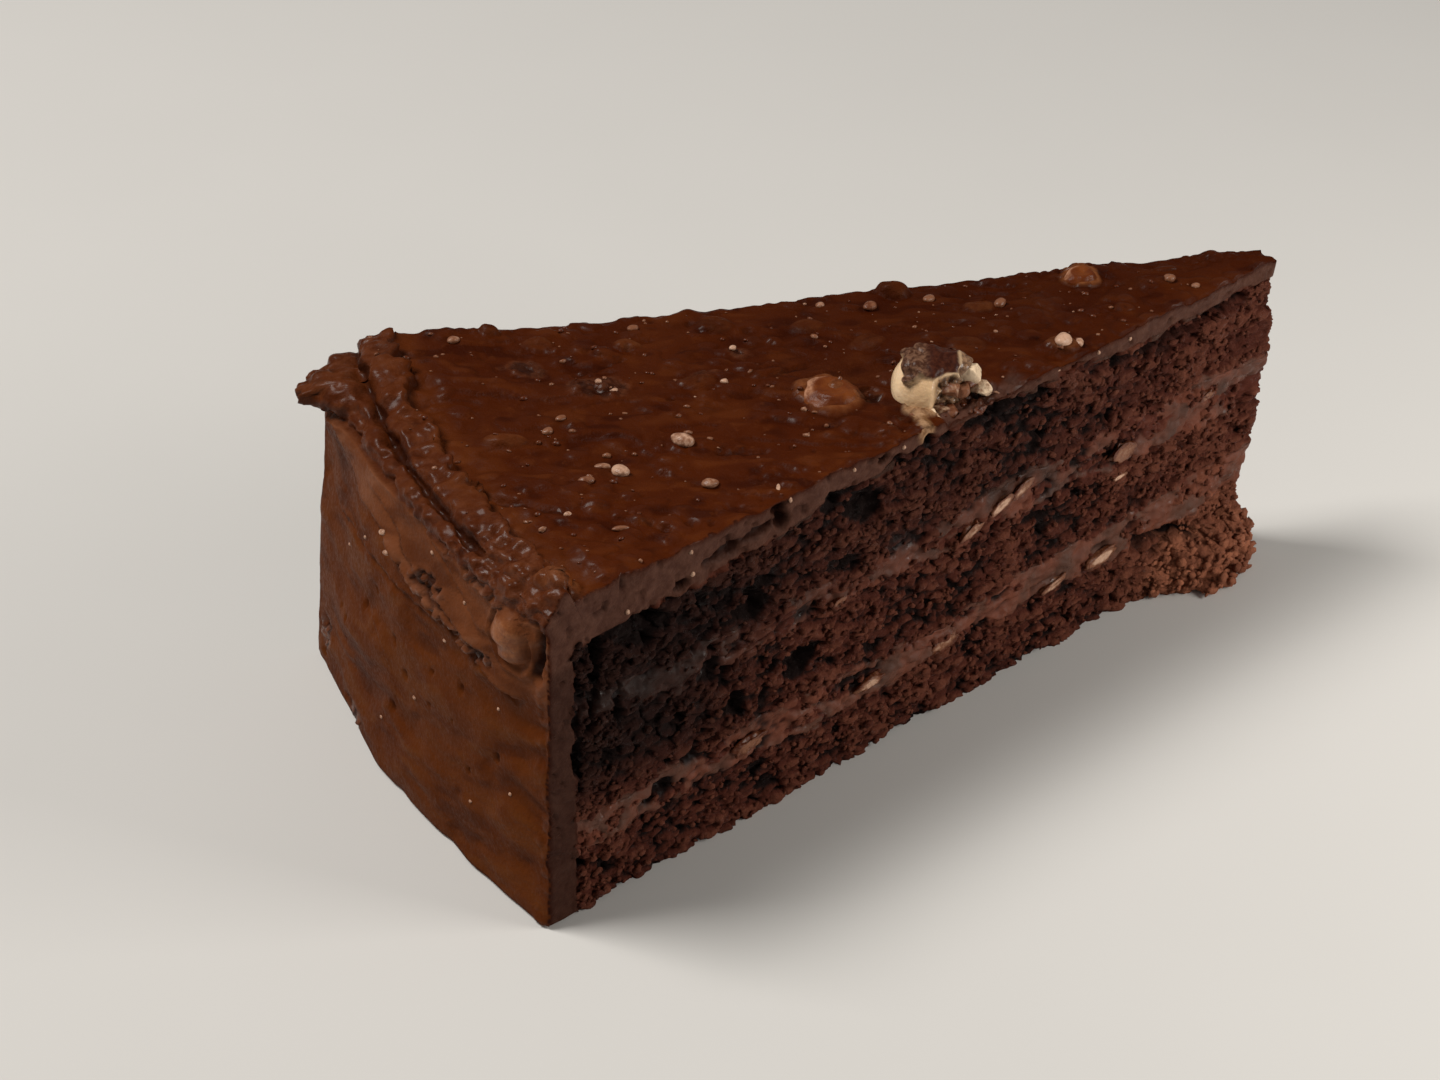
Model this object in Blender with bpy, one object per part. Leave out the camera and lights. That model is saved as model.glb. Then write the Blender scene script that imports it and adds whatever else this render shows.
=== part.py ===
"""A slice of layered chocolate cake, in metres: +X runs to the tip, +Y to the far cut, +Z up.

The whole cake was round, so the slice is drawn in polar form about the cake's middle, which lies just
past the tip: a radius grows from the tip to the outer wall, and an angle from the front cut to the far
cut. Three sponge layers and two fillings are stacked under one coat of icing, which lies on the top and
runs down the outer wall. Both cut sides are crumbly. The slice stands on its bottom sponge, which is
flat underneath, and one whole hazelnut is pressed into the icing close to the front cut.
"""

import math
import random

import bmesh
import bpy
from mathutils import Matrix, Vector, noise

# The slice in plan
APEX = Vector((0.0873, -0.0009, 0.0))  # the middle of the whole cake
HALF_ANGLE = math.radians(13.4)
TIP_RADIUS = 0.0095  # the tip is cut blunt here
NEAR_RADIUS = 0.1600  # the icing's top corner at the front cut
FAR_RADIUS = 0.1634  # the same at the far cut
WALL_THICKNESS = 0.0040

# The slice in height
ICING_TOP = 0.0583
WALL_FOOT = 0.0006  # the icing on the wall ends just clear of the floor
GAP = 0.0003  # between neighbours

# The seams between layers, from the bottom up: height, how much it lifts at the tip, phase of its waves
SEAMS = {
    "lower_under": (0.0115, 0.0022, 0.4),
    "lower_over": (0.0180, 0.0036, 1.9),
    "upper_under": (0.0325, -0.0014, 3.1),
    "upper_over": (0.0390, 0.0018, 4.6),
}
# Their waves along the slice and their tilt across it: height, radians from tip to wall, share of the phase
SEAM_WAVES = ((0.0006, 17, 1.0), (0.00036, 41, 2.3))
SEAM_TILT = (0.0009, 9, 1.7)

# The icing's underside, over the top sponge: low at the wall, high from the middle to the tip
ICING_UNDER_WALL = 0.0494
ICING_UNDER_MIDDLE = 0.0560
ICING_UNDER_TIP = 0.0546
ICING_UNDER_RISE = (0.010, 0.085)  # where it rises and then falls, as distances in from the wall
ICING_UNDER_FALL = (0.090, 0.135)

# The icing's top is drawn up towards the far top corner
FAR_LIFT = 0.0020
FAR_LIFT_RADII = (0.128, 0.154)
FAR_LIFT_ACROSS = (0.6, 1.0)

# The outer wall leans out towards the floor
NEAR_BULGE = 0.0015
FAR_BULGE = 0.0062
BULGE_POWER = 0.75

# A ragged ridge runs round the outer edge of the top, with a crease outside it that stays at one radius.
# Both are given from the crease outwards, with heights over the icing's top.
CREASE_RADIUS = 0.1597
RIDGE = ((-0.0046, 0.0011), (-0.0022, 0.0007), (0.0, -0.0021))
# The wall's lip outside the crease: least distance outside it, distance outside the wall's corner, height
LIP = ((0.0006, -0.0004, -0.0008), (0.0010, 0.0005, -0.0027))
RIM_ROUGHNESS = 0.0007
RIDGE_WIDTH = 0.0024

# How far the knife's strokes on the top and the wall rise and fall, and their size
TOP_STROKES = 0.0004
TOP_STROKE_SIZE = (0.014, 0.006)
WALL_STROKES = 0.0006
WALL_STROKE_SIZE = 0.025

# The spur of icing that sticks out at the far top corner
SPUR_ANGLES = (math.radians(7.6), math.radians(12.9))
SPUR_REACH = 0.0074
SPUR_LIFT = 0.0011

# The crumb on the cut sides
CRUMB_DEPTH = 0.0011
FILLING_DEPTH = 0.0005
ICING_DEPTH = 0.0004
CRUMB_SIZE = 0.0046
CRUMB_STRETCH = Vector((0.7, 0.7, 1.2))  # lumps are longer along the layers than up them

# Torn hollows in the front cut: distance from the wall's corner, height, radius, depth
HOLLOWS = (
    (0.0173, 0.0465, 0.0050, 0.0022),
    (0.0365, 0.0411, 0.0045, 0.0016),
    (0.0476, 0.0268, 0.0045, 0.0020),
    (0.0595, 0.0480, 0.0050, 0.0020),
    (0.1270, 0.0510, 0.0060, 0.0014),
)

# The bottom sponge spreads out of the front cut close to the tip, and a little past the tip
SPREAD_STARTS = (0.0055, 0.0155)
SPREAD_ENDS = (0.0370, 0.0210)
SPREAD_REACH = 0.0088
SPREAD_PAST_TIP = 0.0020
SPREAD_HEIGHT = 0.0090

# The tip stands out halfway up
TIP_BULGE = 0.0017
TIP_BULGE_STARTS = (0.017, 0.027)
TIP_BULGE_ENDS = (0.054, 0.044)

# Cells of the layers' meshes: along the slice, across it, and up each kind of layer
ALONG = 40
ACROSS = 4
ACROSS_ICING = 16
SPONGE_ROWS = 4
WALL_CELLS = 13

# The hazelnut: its middle, half its length, width and height, and where its broken end is cut off
NUT_RADIUS = 0.0806
NUT_ANGLE = math.radians(-8.35)
NUT_HEIGHT = 0.0592
NUT_SIZE = Vector((0.0072, 0.0052, 0.0058))
NUT_TURN = math.radians(-27)
NUT_BROKEN_END = 0.0064
NUT_BROKEN_SLOPE = 0.25

# Nuts under the icing, as bumps on it: radius, angle in degrees, half length, half width, height
BUMPS = (
    (0.0960, -4.1, 0.0052, 0.0042, 0.0024),
    (0.0426, 9.2, 0.0033, 0.0028, 0.0013),
    (0.1556, -12.1, 0.0034, 0.0028, 0.0014),
    (0.0571, -10.0, 0.0030, 0.0022, 0.0016),
    (0.1220, -4.3, 0.0020, 0.0014, 0.0012),
    (0.1335, -5.2, 0.0018, 0.0013, 0.0010),
    (0.1450, 1.1, 0.0036, 0.0016, 0.0010),
    (0.1247, -8.9, 0.0020, 0.0015, 0.0009),
    (0.1391, -4.7, 0.0018, 0.0014, 0.0009),
    (0.0734, 12.1, 0.0020, 0.0016, 0.0026),
    (0.1392, 12.9, 0.0012, 0.0012, 0.0022),
)
BUMP_SUNK = 0.2  # a bump's middle is over the top by this share of its height
# The nut that shows in the wall beside the front cut: angle from the cut, height, half of each of its sizes
WALL_NUT = (math.radians(2.2), 0.0490, (0.0019, 0.0037, 0.0052))

# Small grains strewn over the top
GRAINS = 26
GRAIN_SIZES = (0.0007, 0.0012)
GRAIN_SHAPE = Vector((1.3, 1.0, 0.9))
GRAIN_SPACING = 0.0085
GRAIN_NUT_SPACING = 0.0110

# Slivers of nut in the fillings: distance from the wall's corner, height, half length, half height, rise
SLIVERS = {
    "filling_lower": (
        (0.0773, 0.0148, 0.0036, 0.0012, 0.06),
        (0.0615, 0.0142, 0.0026, 0.0011, 0.0),
        (0.1120, 0.0156, 0.0032, 0.0012, 0.1),
    ),
    "filling_upper": (
        (0.0872, 0.0358, 0.0050, 0.0013, 0.32),
        (0.1160, 0.0348, 0.0034, 0.0017, 0.1),
    ),
}

SLIVER_DEPTH = 0.0012

# Colour as shown, roughness
SPONGE = ((0.019, 0.0062, 0.0042), 0.95)
FILLING = ((0.040, 0.0170, 0.0115), 0.70)
ICING = ((0.058, 0.0120, 0.0032), 0.36)
NUT = ((0.420, 0.2650, 0.1500), 0.45)

FRONT = 0
FAR = 1


def polar(radius, angle, z):
    """The point this far from the cake's middle, at this angle from the slice's own middle line."""
    return Vector((APEX.x - radius * math.cos(angle), APEX.y + radius * math.sin(angle), z))


def ramp(x, start, end):
    """A smooth step from 0 at the start to 1 at the end, which may be the lower of the two."""
    share = min(1.0, max(0.0, (x - start) / (end - start)))
    return share * share * (3 - 2 * share)


def angle_at(across):
    return HALF_ANGLE * (2 * across - 1)


def corner_radius(across):
    """Where the wall meets the top."""
    return NEAR_RADIUS + (FAR_RADIUS - NEAR_RADIUS) * across


def sponge_radius(across):
    """The upright outer side of the layers, inside the icing on the wall."""
    return corner_radius(across) - WALL_THICKNESS


def wall_radius(across, z):
    """The outer side of the icing, which leans out towards the floor and most at the far cut."""
    bulge = NEAR_BULGE + (FAR_BULGE - NEAR_BULGE) * across
    return corner_radius(across) + bulge * max(0.0, 1 - z / ICING_TOP) ** BULGE_POWER


def seam(name, along, across):
    """The height of a seam: wavy along the slice and tilted a little across it."""
    height, lift, phase = SEAMS[name]
    wave = sum(size * math.sin(turns * along + share * phase) for size, turns, share in SEAM_WAVES)
    size, turns, share = SEAM_TILT
    tilt = size * math.sin(turns * along + share * phase) * (across - 0.5)
    return height + lift * (1 - along) ** 3 + wave + tilt


def icing_under(radius):
    """The height of the icing's underside over the top sponge."""
    inward = NEAR_RADIUS - radius
    rise = (ICING_UNDER_MIDDLE - ICING_UNDER_WALL) * ramp(inward, *ICING_UNDER_RISE)
    fall = (ICING_UNDER_MIDDLE - ICING_UNDER_TIP) * ramp(inward, *ICING_UNDER_FALL)
    return ICING_UNDER_WALL + rise - fall


def lumps(point, size):
    """Noise of about -1 to 1 with two sizes of lump."""
    stretched = point * CRUMB_STRETCH / size
    return noise.noise(stretched) + 0.5 * noise.noise(stretched * 2.3 + Vector((7.0, 3.0, 5.0)))


def cut_relief(radius, z, side, depth):
    """How far a cut side stands out here, negative where it is torn in."""
    place = Vector((radius, 0.3 * side, z))
    out = depth * lumps(place, CRUMB_SIZE)
    if side == FRONT:
        for from_corner, height, size, hollow in HOLLOWS:
            away = math.hypot(NEAR_RADIUS - radius - from_corner, z - height)
            out -= hollow * (depth / CRUMB_DEPTH) * ramp(away, 1.3 * size, 0.3 * size)
    return out


def spread_profile(z):
    """The round side of the spread-out crumb, from 1 at the floor to 0 at its top."""
    return math.sqrt(max(0.0, 1 - (z / SPREAD_HEIGHT) ** 2))


def spread(radius, z):
    """How far the bottom sponge spreads out of the front cut close to the tip."""
    middle = ramp(radius, *SPREAD_STARTS) * ramp(radius, *SPREAD_ENDS)
    return SPREAD_REACH * middle * spread_profile(z)


def tip_out(z):
    """How far the blunt tip stands out at this height."""
    middle = ramp(z, *TIP_BULGE_STARTS) * ramp(z, *TIP_BULGE_ENDS)
    return TIP_BULGE * middle + SPREAD_PAST_TIP * spread_profile(z)


def stand_out(point, angle, side, distance):
    """The point moved square out of its cut side."""
    sign = -1 if side == FRONT else 1
    return point + sign * distance * Vector((math.sin(angle), math.cos(angle), 0.0))


def new_material(name, colour, roughness):
    material = bpy.data.materials.new(name)
    material.use_nodes = True
    surface = material.node_tree.nodes["Principled BSDF"]
    surface.inputs["Base Color"].default_value = (*colour, 1.0)
    surface.inputs["Roughness"].default_value = roughness
    material.diffuse_color = (*colour, 1.0)
    return material


def new_object(name, bm, collection, look=None):
    """An object from a bmesh, with its own material where it has a look."""
    bmesh.ops.recalc_face_normals(bm, faces=bm.faces)
    mesh = bpy.data.meshes.new(name)
    bm.to_mesh(mesh)
    bm.free()
    obj = bpy.data.objects.new(name, mesh)
    collection.objects.link(obj)
    if look:
        mesh.materials.append(new_material(name, *look))
    return obj


def grid_block(cells):
    """A box of unit size, corner at the origin, divided into this many cells along X, Y and Z."""
    bm = bmesh.new()
    bmesh.ops.create_cube(bm, size=1.0, matrix=Matrix.Translation((0.5, 0.5, 0.5)))
    for axis, count in enumerate(cells):
        crossing = [edge for edge in bm.edges if abs(edge.verts[0].co[axis] - edge.verts[1].co[axis]) > 0.5]
        if count > 1:
            bmesh.ops.subdivide_edges(bm, edges=crossing, cuts=count - 1, use_grid_fill=True)
    return bm


def add_layer(name, under, over, rows, across_cells, depth, look, collection):
    """One layer between two seams, each given as a function of the places along and across."""
    bm = grid_block((ALONG, across_cells, rows))
    for vert in bm.verts:
        along, across, up = vert.co
        angle = angle_at(across)
        radius = TIP_RADIUS + (sponge_radius(across) - TIP_RADIUS) * along
        low = under(along, across)
        z = low + (over(along, across) - low) * up
        point = polar(radius, angle, z)
        # Rough at the tip too, and smooth where the icing covers the layer
        if along < 1e-4:
            point.x += tip_out(z) + 0.5 * depth * lumps(point, CRUMB_SIZE)
        for side in (FRONT, FAR):
            if abs(across - side) < 1e-4:
                out = cut_relief(radius, z, side, depth)
                if side == FRONT:
                    out += spread(radius, z)
                point = stand_out(point, angle, side, out)
        vert.co = point
    return new_object(name, bm, collection, look)


def top_height(radius, across):
    """The height of the icing's top, which is level but for the far top corner."""
    return ICING_TOP + FAR_LIFT * ramp(radius, *FAR_LIFT_RADII) * ramp(across, *FAR_LIFT_ACROSS)


def rim_point(step, across):
    """A point of the ragged ridge, the crease outside it or the rounded corner, by its number."""
    angle = angle_at(across)
    ragged = RIM_ROUGHNESS * noise.noise(Vector((41 * across, 5.3 * step, 0.7)))
    if step < len(RIDGE):
        outward, height = RIDGE[step]
        radius = CREASE_RADIUS + outward
        return polar(radius + 1.5 * ragged, angle, top_height(radius, across) + height + ragged)
    least, outward, height = LIP[step - len(RIDGE)]
    radius = max(CREASE_RADIUS + least, corner_radius(across) + outward)
    z = ICING_TOP + height + ragged
    first, last = SPUR_ANGLES
    if first < angle < last:
        middle = math.sqrt(math.sin(math.pi * (angle - first) / (last - first)))
        radius += SPUR_REACH * middle
        z += SPUR_LIFT * middle
    return polar(radius + 0.5 * ragged, angle, z)


def icing_outside(step, across):
    """The icing's outer surface, from the tip over the top and down the wall, by the cell's number."""
    angle = angle_at(across)
    if step < ALONG:
        along = step / ALONG
        radius = TIP_RADIUS + (sponge_radius(across) - TIP_RADIUS) * along
        radius = min(radius, CREASE_RADIUS + RIDGE[0][0] - RIDGE_WIDTH)
        point = polar(radius, angle, top_height(radius, across))
        length, width = TOP_STROKE_SIZE
        point.z += TOP_STROKES * noise.noise(Vector((point.x / length, point.y / width, 2.0)))
        return point
    rim_steps = len(RIDGE) + len(LIP)
    if step - ALONG < rim_steps:
        return rim_point(step - ALONG, across)
    down = (step - ALONG - rim_steps + 1) / (WALL_CELLS - rim_steps + 1)
    top = ICING_TOP + LIP[-1][2]
    z = top + (WALL_FOOT - top) * down
    point = polar(wall_radius(across, z), angle, z)
    stroke = WALL_STROKES * noise.noise(point / WALL_STROKE_SIZE)
    return polar(wall_radius(across, z) + stroke, angle, z)


def icing_inside(step, across):
    """The icing's inner surface: the top sponge's seam, then the upright side of the layers."""
    angle = angle_at(across)
    corner = sponge_radius(across) + GAP
    corner_step = ALONG + len(RIDGE) - 1
    if step <= corner_step:
        # The last cell before the corner is shared out among the steps of the ridge
        places = min(step, ALONG - 1) + max(0, step - ALONG + 1) / len(RIDGE)
        radius = TIP_RADIUS + (sponge_radius(across) - TIP_RADIUS) * places / ALONG
        radius = corner if step == corner_step else radius
        return polar(radius, angle, icing_under(radius) + GAP / 2)
    top = icing_under(corner) + GAP / 2
    z = top + (WALL_FOOT - top) * (step - corner_step) / (ALONG + WALL_CELLS - corner_step)
    return polar(corner, angle, z)


def ball(bm, centre, half_sizes, turn, subdivisions=1):
    """A lump added to a bmesh: an icosphere stretched and turned. It returns the lump's points."""
    scale = Matrix.Diagonal((*half_sizes, 1.0))
    matrix = Matrix.Translation(centre) @ turn.to_4x4() @ scale
    made = bmesh.ops.create_icosphere(bm, subdivisions=subdivisions, radius=1.0, matrix=matrix)
    return made["verts"]


def join_lumps(target, lumps_to_join):
    """Fuses the lumps to the target by one Boolean union, then removes them."""
    helpers = bpy.data.collections.new(target.name + "_lumps")
    bpy.context.scene.collection.children.link(helpers)
    for centre, half_sizes, turn, subdivisions in lumps_to_join:
        bm = bmesh.new()
        ball(bm, centre, half_sizes, turn, subdivisions)
        new_object(target.name + "_lump", bm, helpers)
    union = target.modifiers.new("lumps", "BOOLEAN")
    union.operation = "UNION"
    union.operand_type = "COLLECTION"
    union.collection = helpers
    apply_modifiers(target)
    for helper in list(helpers.objects):
        bpy.data.objects.remove(helper)
    bpy.data.collections.remove(helpers)


def apply_modifiers(obj):
    """Turns the object's mesh into what its modifiers make of it."""
    bpy.context.view_layer.update()
    evaluated = obj.evaluated_get(bpy.context.evaluated_depsgraph_get())
    mesh = bpy.data.meshes.new_from_object(evaluated)
    obj.modifiers.clear()
    obj.data = mesh


def icing_lumps():
    """The nuts under the icing and the small grains on it, each sunk to half its depth or more."""
    found = []
    for radius, degrees, length, width, height in BUMPS:
        angle = math.radians(degrees)
        top = top_height(radius, 0.5 + 0.5 * angle / HALF_ANGLE)
        centre = polar(radius, angle, top + BUMP_SUNK * height)
        half_sizes = (length, width, (1 - BUMP_SUNK) * height)
        found.append((centre, half_sizes, Matrix.Rotation(NUT_TURN, 3, "Z"), 2))
    angle, z, half_sizes = WALL_NUT
    across = angle / (2 * HALF_ANGLE)
    centre = polar(wall_radius(across, z), angle_at(across), z)
    turn = Matrix.Rotation(-angle_at(across), 3, "Z")
    found.append((centre, half_sizes, turn, 2))
    draw = random.Random(7)
    while len(found) < len(BUMPS) + 1 + GRAINS:
        across = draw.uniform(0.08, 0.92)
        radius = NEAR_RADIUS * math.sqrt(draw.uniform(0.05, 0.88))
        spot = polar(radius, angle_at(across), top_height(radius, across))
        taken = [(spot - other[0]).xy.length < GRAIN_SPACING for other in found]
        if not any(taken) and (spot - nut_centre()).xy.length > GRAIN_NUT_SPACING:
            size = draw.uniform(*GRAIN_SIZES)
            turn = Matrix.Rotation(draw.uniform(0, math.pi), 3, "Z")
            found.append((spot, GRAIN_SHAPE * size, turn, 1))
    return found


def add_icing(collection):
    """The coat on the top and the wall, as one bent slab."""
    steps = ALONG + WALL_CELLS
    bm = grid_block((steps, ACROSS_ICING, 1))
    for vert in bm.verts:
        step = round(vert.co.x * steps)
        across = vert.co.y
        outer = vert.co.z > 0.5
        point = icing_outside(step, across) if outer else icing_inside(step, across)
        for side in (FRONT, FAR):
            if abs(across - side) < 1e-4:
                radius = (point - APEX).xy.length
                out = cut_relief(radius, point.z, side, ICING_DEPTH)
                point = stand_out(point, angle_at(across), side, out)
        vert.co = point
    icing = new_object("icing", bm, collection, ICING)
    join_lumps(icing, icing_lumps())
    return icing


def nut_centre():
    return polar(NUT_RADIUS, NUT_ANGLE, NUT_HEIGHT)


def nut_mesh(growth):
    """A rounded nut with a broken, flatter end towards the tip, made larger all round by the growth."""
    bm = bmesh.new()
    turn = Matrix.Rotation(NUT_TURN, 3, "Z")
    centre = nut_centre()
    size = NUT_SIZE + Vector((growth, growth, growth))
    for vert in ball(bm, centre, size, turn, 3):
        local = turn.inverted() @ (vert.co - centre)
        local.x = min(local.x, NUT_BROKEN_END + growth - NUT_BROKEN_SLOPE * abs(local.y))
        vert.co = centre + turn @ local
    return bm


def add_hazelnut(collection):
    return new_object("hazelnut", nut_mesh(0.0), collection, NUT)


def cut_pocket(targets, cutters):
    """The hazelnut's seat, cut into the icing and the sponge under it with the usual gap."""
    cutter = new_object("hazelnut_seat", nut_mesh(1.5 * GAP), cutters)
    cutter.hide_render = True
    cutter.display_type = "WIRE"
    for target in targets:
        seat = target.modifiers.new("seat", "BOOLEAN")
        seat.operation = "DIFFERENCE"
        seat.object = cutter


def sliver_lumps(node):
    """The slivers of nut that show in a filling at the front cut."""
    angle = angle_at(FRONT)
    into = Matrix.Rotation(-angle, 3, "Z")
    found = []
    for from_corner, z, length, height, rise in SLIVERS[node]:
        centre = polar(NEAR_RADIUS - from_corner, angle, z)
        turn = into @ Matrix.Rotation(-rise, 3, "Y")
        found.append((centre, (length, SLIVER_DEPTH, height), turn, 2))
    return found


def build():
    for obj in list(bpy.data.objects):
        bpy.data.objects.remove(obj)
    slice_parts = bpy.data.collections.new("chocolate_cake_slice")
    cutters = bpy.data.collections.new("cutters")
    for collection in (slice_parts, cutters):
        bpy.context.scene.collection.children.link(collection)

    def over(name):
        return lambda along, across: seam(name, along, across) + GAP / 2

    def under(name):
        return lambda along, across: seam(name, along, across) - GAP / 2

    def floor(_along, _across):
        return 0.0

    def icing_seam(along, across):
        radius = TIP_RADIUS + (sponge_radius(across) - TIP_RADIUS) * along
        return icing_under(radius) - GAP / 2

    layers = (
        ("sponge_bottom", floor, under("lower_under"), SPONGE_ROWS, ACROSS, CRUMB_DEPTH, SPONGE),
        ("filling_lower", over("lower_under"), under("lower_over"), 1, ACROSS, FILLING_DEPTH, FILLING),
        ("sponge_middle", over("lower_over"), under("upper_under"), SPONGE_ROWS, ACROSS, CRUMB_DEPTH, SPONGE),
        ("filling_upper", over("upper_under"), under("upper_over"), 1, ACROSS, FILLING_DEPTH, FILLING),
        ("sponge_top", over("upper_over"), icing_seam, SPONGE_ROWS, 2 * ACROSS, CRUMB_DEPTH, SPONGE),
    )
    made = {layer[0]: add_layer(*layer, slice_parts) for layer in layers}
    for node in SLIVERS:
        join_lumps(made[node], sliver_lumps(node))
    icing = add_icing(slice_parts)
    add_hazelnut(slice_parts)
    cut_pocket((icing, made["sponge_top"]), cutters)


build()
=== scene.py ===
import itertools
import math
import random

import bmesh
import bpy
import numpy as np
from mathutils import Matrix, Vector


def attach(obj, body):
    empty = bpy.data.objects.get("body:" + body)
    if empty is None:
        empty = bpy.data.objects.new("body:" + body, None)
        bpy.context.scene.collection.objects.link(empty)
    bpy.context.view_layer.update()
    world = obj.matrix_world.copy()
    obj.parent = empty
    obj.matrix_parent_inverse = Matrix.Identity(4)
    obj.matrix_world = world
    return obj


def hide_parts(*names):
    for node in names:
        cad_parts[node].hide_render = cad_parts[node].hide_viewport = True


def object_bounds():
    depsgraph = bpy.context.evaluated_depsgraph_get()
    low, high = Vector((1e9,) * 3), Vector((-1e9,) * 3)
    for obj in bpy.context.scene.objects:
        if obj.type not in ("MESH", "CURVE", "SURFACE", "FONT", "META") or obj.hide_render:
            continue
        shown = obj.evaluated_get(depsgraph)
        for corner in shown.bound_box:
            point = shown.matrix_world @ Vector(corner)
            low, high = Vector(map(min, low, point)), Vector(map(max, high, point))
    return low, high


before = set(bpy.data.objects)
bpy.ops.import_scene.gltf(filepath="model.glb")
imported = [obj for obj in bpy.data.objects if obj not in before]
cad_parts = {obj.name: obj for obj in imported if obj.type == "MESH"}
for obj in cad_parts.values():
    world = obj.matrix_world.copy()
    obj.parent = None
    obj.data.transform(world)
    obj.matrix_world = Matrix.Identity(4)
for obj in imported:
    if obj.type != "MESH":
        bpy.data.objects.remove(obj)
cad_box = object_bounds()


# Bottom sponge: the layer of chocolate cake that the slice stands on. It was baked as a sheet, split
# level, and cut through with the rest, so its two cut sides and its tip are torn, open crumb. Near the
# tip it has been squashed out into a foot of loose clumps.

APEX = np.array([0.0873, -0.0009])  # the middle of the whole cake, in plan
HALF_ANGLE = math.radians(13.4)
TIP_RADIUS = 0.0095
NEAR_RADIUS = 0.1600  # the icing's corner at the front cut
FAR_RADIUS = 0.1634  # and at the far cut
WALL_THICKNESS = 0.0040
RIM_START = 0.1475  # where the rim of the icing begins
TIP_WIDTH = 0.0044
BOX_GAP = 0.00002
# Each seam's height at the wall, its lift at the tip, and its phase
SEAMS = {
    "lower_under": (0.0115, 0.0022, 0.4),
    "lower_over": (0.0180, 0.0036, 1.9),
    "upper_under": (0.0325, -0.0014, 3.1),
    "upper_over": (0.0390, 0.0018, 4.6),
}
# Height, turns along the slice, share of the phase
SEAM_WAVES = ((0.0006, 17, 1.0), (0.00036, 41, 2.3))
SEAM_TILT = (0.0009, 9, 1.7)
CELL = 0.00034  # one cell of the torn sides


def ramp(x, start, end):
    """A smooth step from 0 at the start to 1 at the end, which may be the lower of the two."""
    share = np.clip((x - start) / (end - start), 0, 1)
    return share * share * (3 - 2 * share)


def mixed_bits(cell, seed):
    """Sixty scrambled bits for each whole-number cell."""
    bits = cell[..., 0] * 73856093 ^ cell[..., 1] * 19349663 ^ cell[..., 2] * 83492791
    bits = bits + seed * 668265263
    for shift, factor in ((29, 6364136223846793005), (31, 1442695040888963407)):
        bits = (bits ^ (bits >> shift)) * factor
    return bits ^ (bits >> 30)


def unit(bits, take):
    """One of three numbers from 0 to 1 out of the scrambled bits."""
    return ((bits >> (20 * take)) & 0xFFFFF) / 0x100000


def soft_noise(place, size, seed):
    """Smooth waves of about this size, from -1 to 1. Each seed gives waves of its own."""
    scaled = place / np.array(size)
    cell = np.floor(scaled).astype(np.int64)
    part = scaled - cell
    part = part * part * (3 - 2 * part)
    total = np.zeros(place.shape[:-1])
    for corner in itertools.product((0, 1), repeat=3):
        weight = np.prod(np.where(corner, part, 1 - part), axis=-1)
        total += weight * unit(mixed_bits(cell + np.array(corner), seed), 1)
    return 2 * total - 1


def waves(place, rows):
    """Smooth waves on top of each other, each row giving their height, size and seed."""
    total = np.zeros(place.shape[:-1])
    for height, size, seed in rows:
        total = total + height * soft_noise(place, size, seed)
    return total


def bend(place, height, size, seed):
    """The places pushed about by smooth waves, so that what lies on them isn't too even."""
    return place + height * np.stack([soft_noise(place, size, seed + axis) for axis in range(3)], -1)


def clumps(place, size, seed):
    """Round clumps packed side by side: 0 in the gaps to 1 on a clump's top, the way out from the
    clump's middle, and a number from 0 to 1 that is the clump's own."""
    size = np.array(size)
    scaled = place / size
    cell = np.floor(scaled).astype(np.int64)
    nearest = np.full(place.shape[:-1], 9.0)
    number = np.zeros(place.shape[:-1])
    way_out = np.zeros(place.shape)
    for step in itertools.product((-1, 0, 1), repeat=3):
        bits = mixed_bits(cell + np.array(step), seed)
        spot = np.stack([unit(bits, take) for take in range(3)], -1)
        away = scaled - (cell + np.array(step) + 0.1 + 0.8 * spot)
        reach = 0.55 + 0.40 * unit(bits >> 7, 2)  # some are larger
        distance = np.linalg.norm(away, axis=-1) / reach
        closer = distance < nearest
        nearest = np.where(closer, distance, nearest)
        number = np.where(closer, unit(bits >> 3, 1), number)
        way_out = np.where(closer[..., None], away, way_out)
    return np.sqrt(np.clip(1 - nearest * nearest, 0, 1)), way_out * size, number


def sponge_radius(across):
    """The upright outer side of the layers; across is 0 at the front cut and 1 at the far cut."""
    return NEAR_RADIUS + (FAR_RADIUS - NEAR_RADIUS) * across - WALL_THICKNESS


def seam(name, radius, across):
    """The height of a seam between two layers."""
    height, lift, phase = SEAMS[name]
    along = (radius - TIP_RADIUS) / (sponge_radius(across) - TIP_RADIUS)
    z = height + lift * (1 - along) ** 3
    for size, turns, share in SEAM_WAVES:
        z = z + size * np.sin(turns * along + share * phase)
    size, turns, share = SEAM_TILT
    return z + size * np.sin(turns * along + share * phase) * (across - 0.5)


def icing_under(radius):
    """The height of the icing's underside over the top sponge."""
    inward = NEAR_RADIUS - radius
    return 0.0494 + 0.0066 * ramp(inward, 0.010, 0.085) - 0.0014 * ramp(inward, 0.090, 0.135)


def plan_point(radius, angle):
    """The place in plan at this distance from the cake's middle, and this angle from the slice's."""
    return np.stack([APEX[0] - radius * np.cos(angle), APEX[1] + radius * np.sin(angle)], -1)


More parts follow.
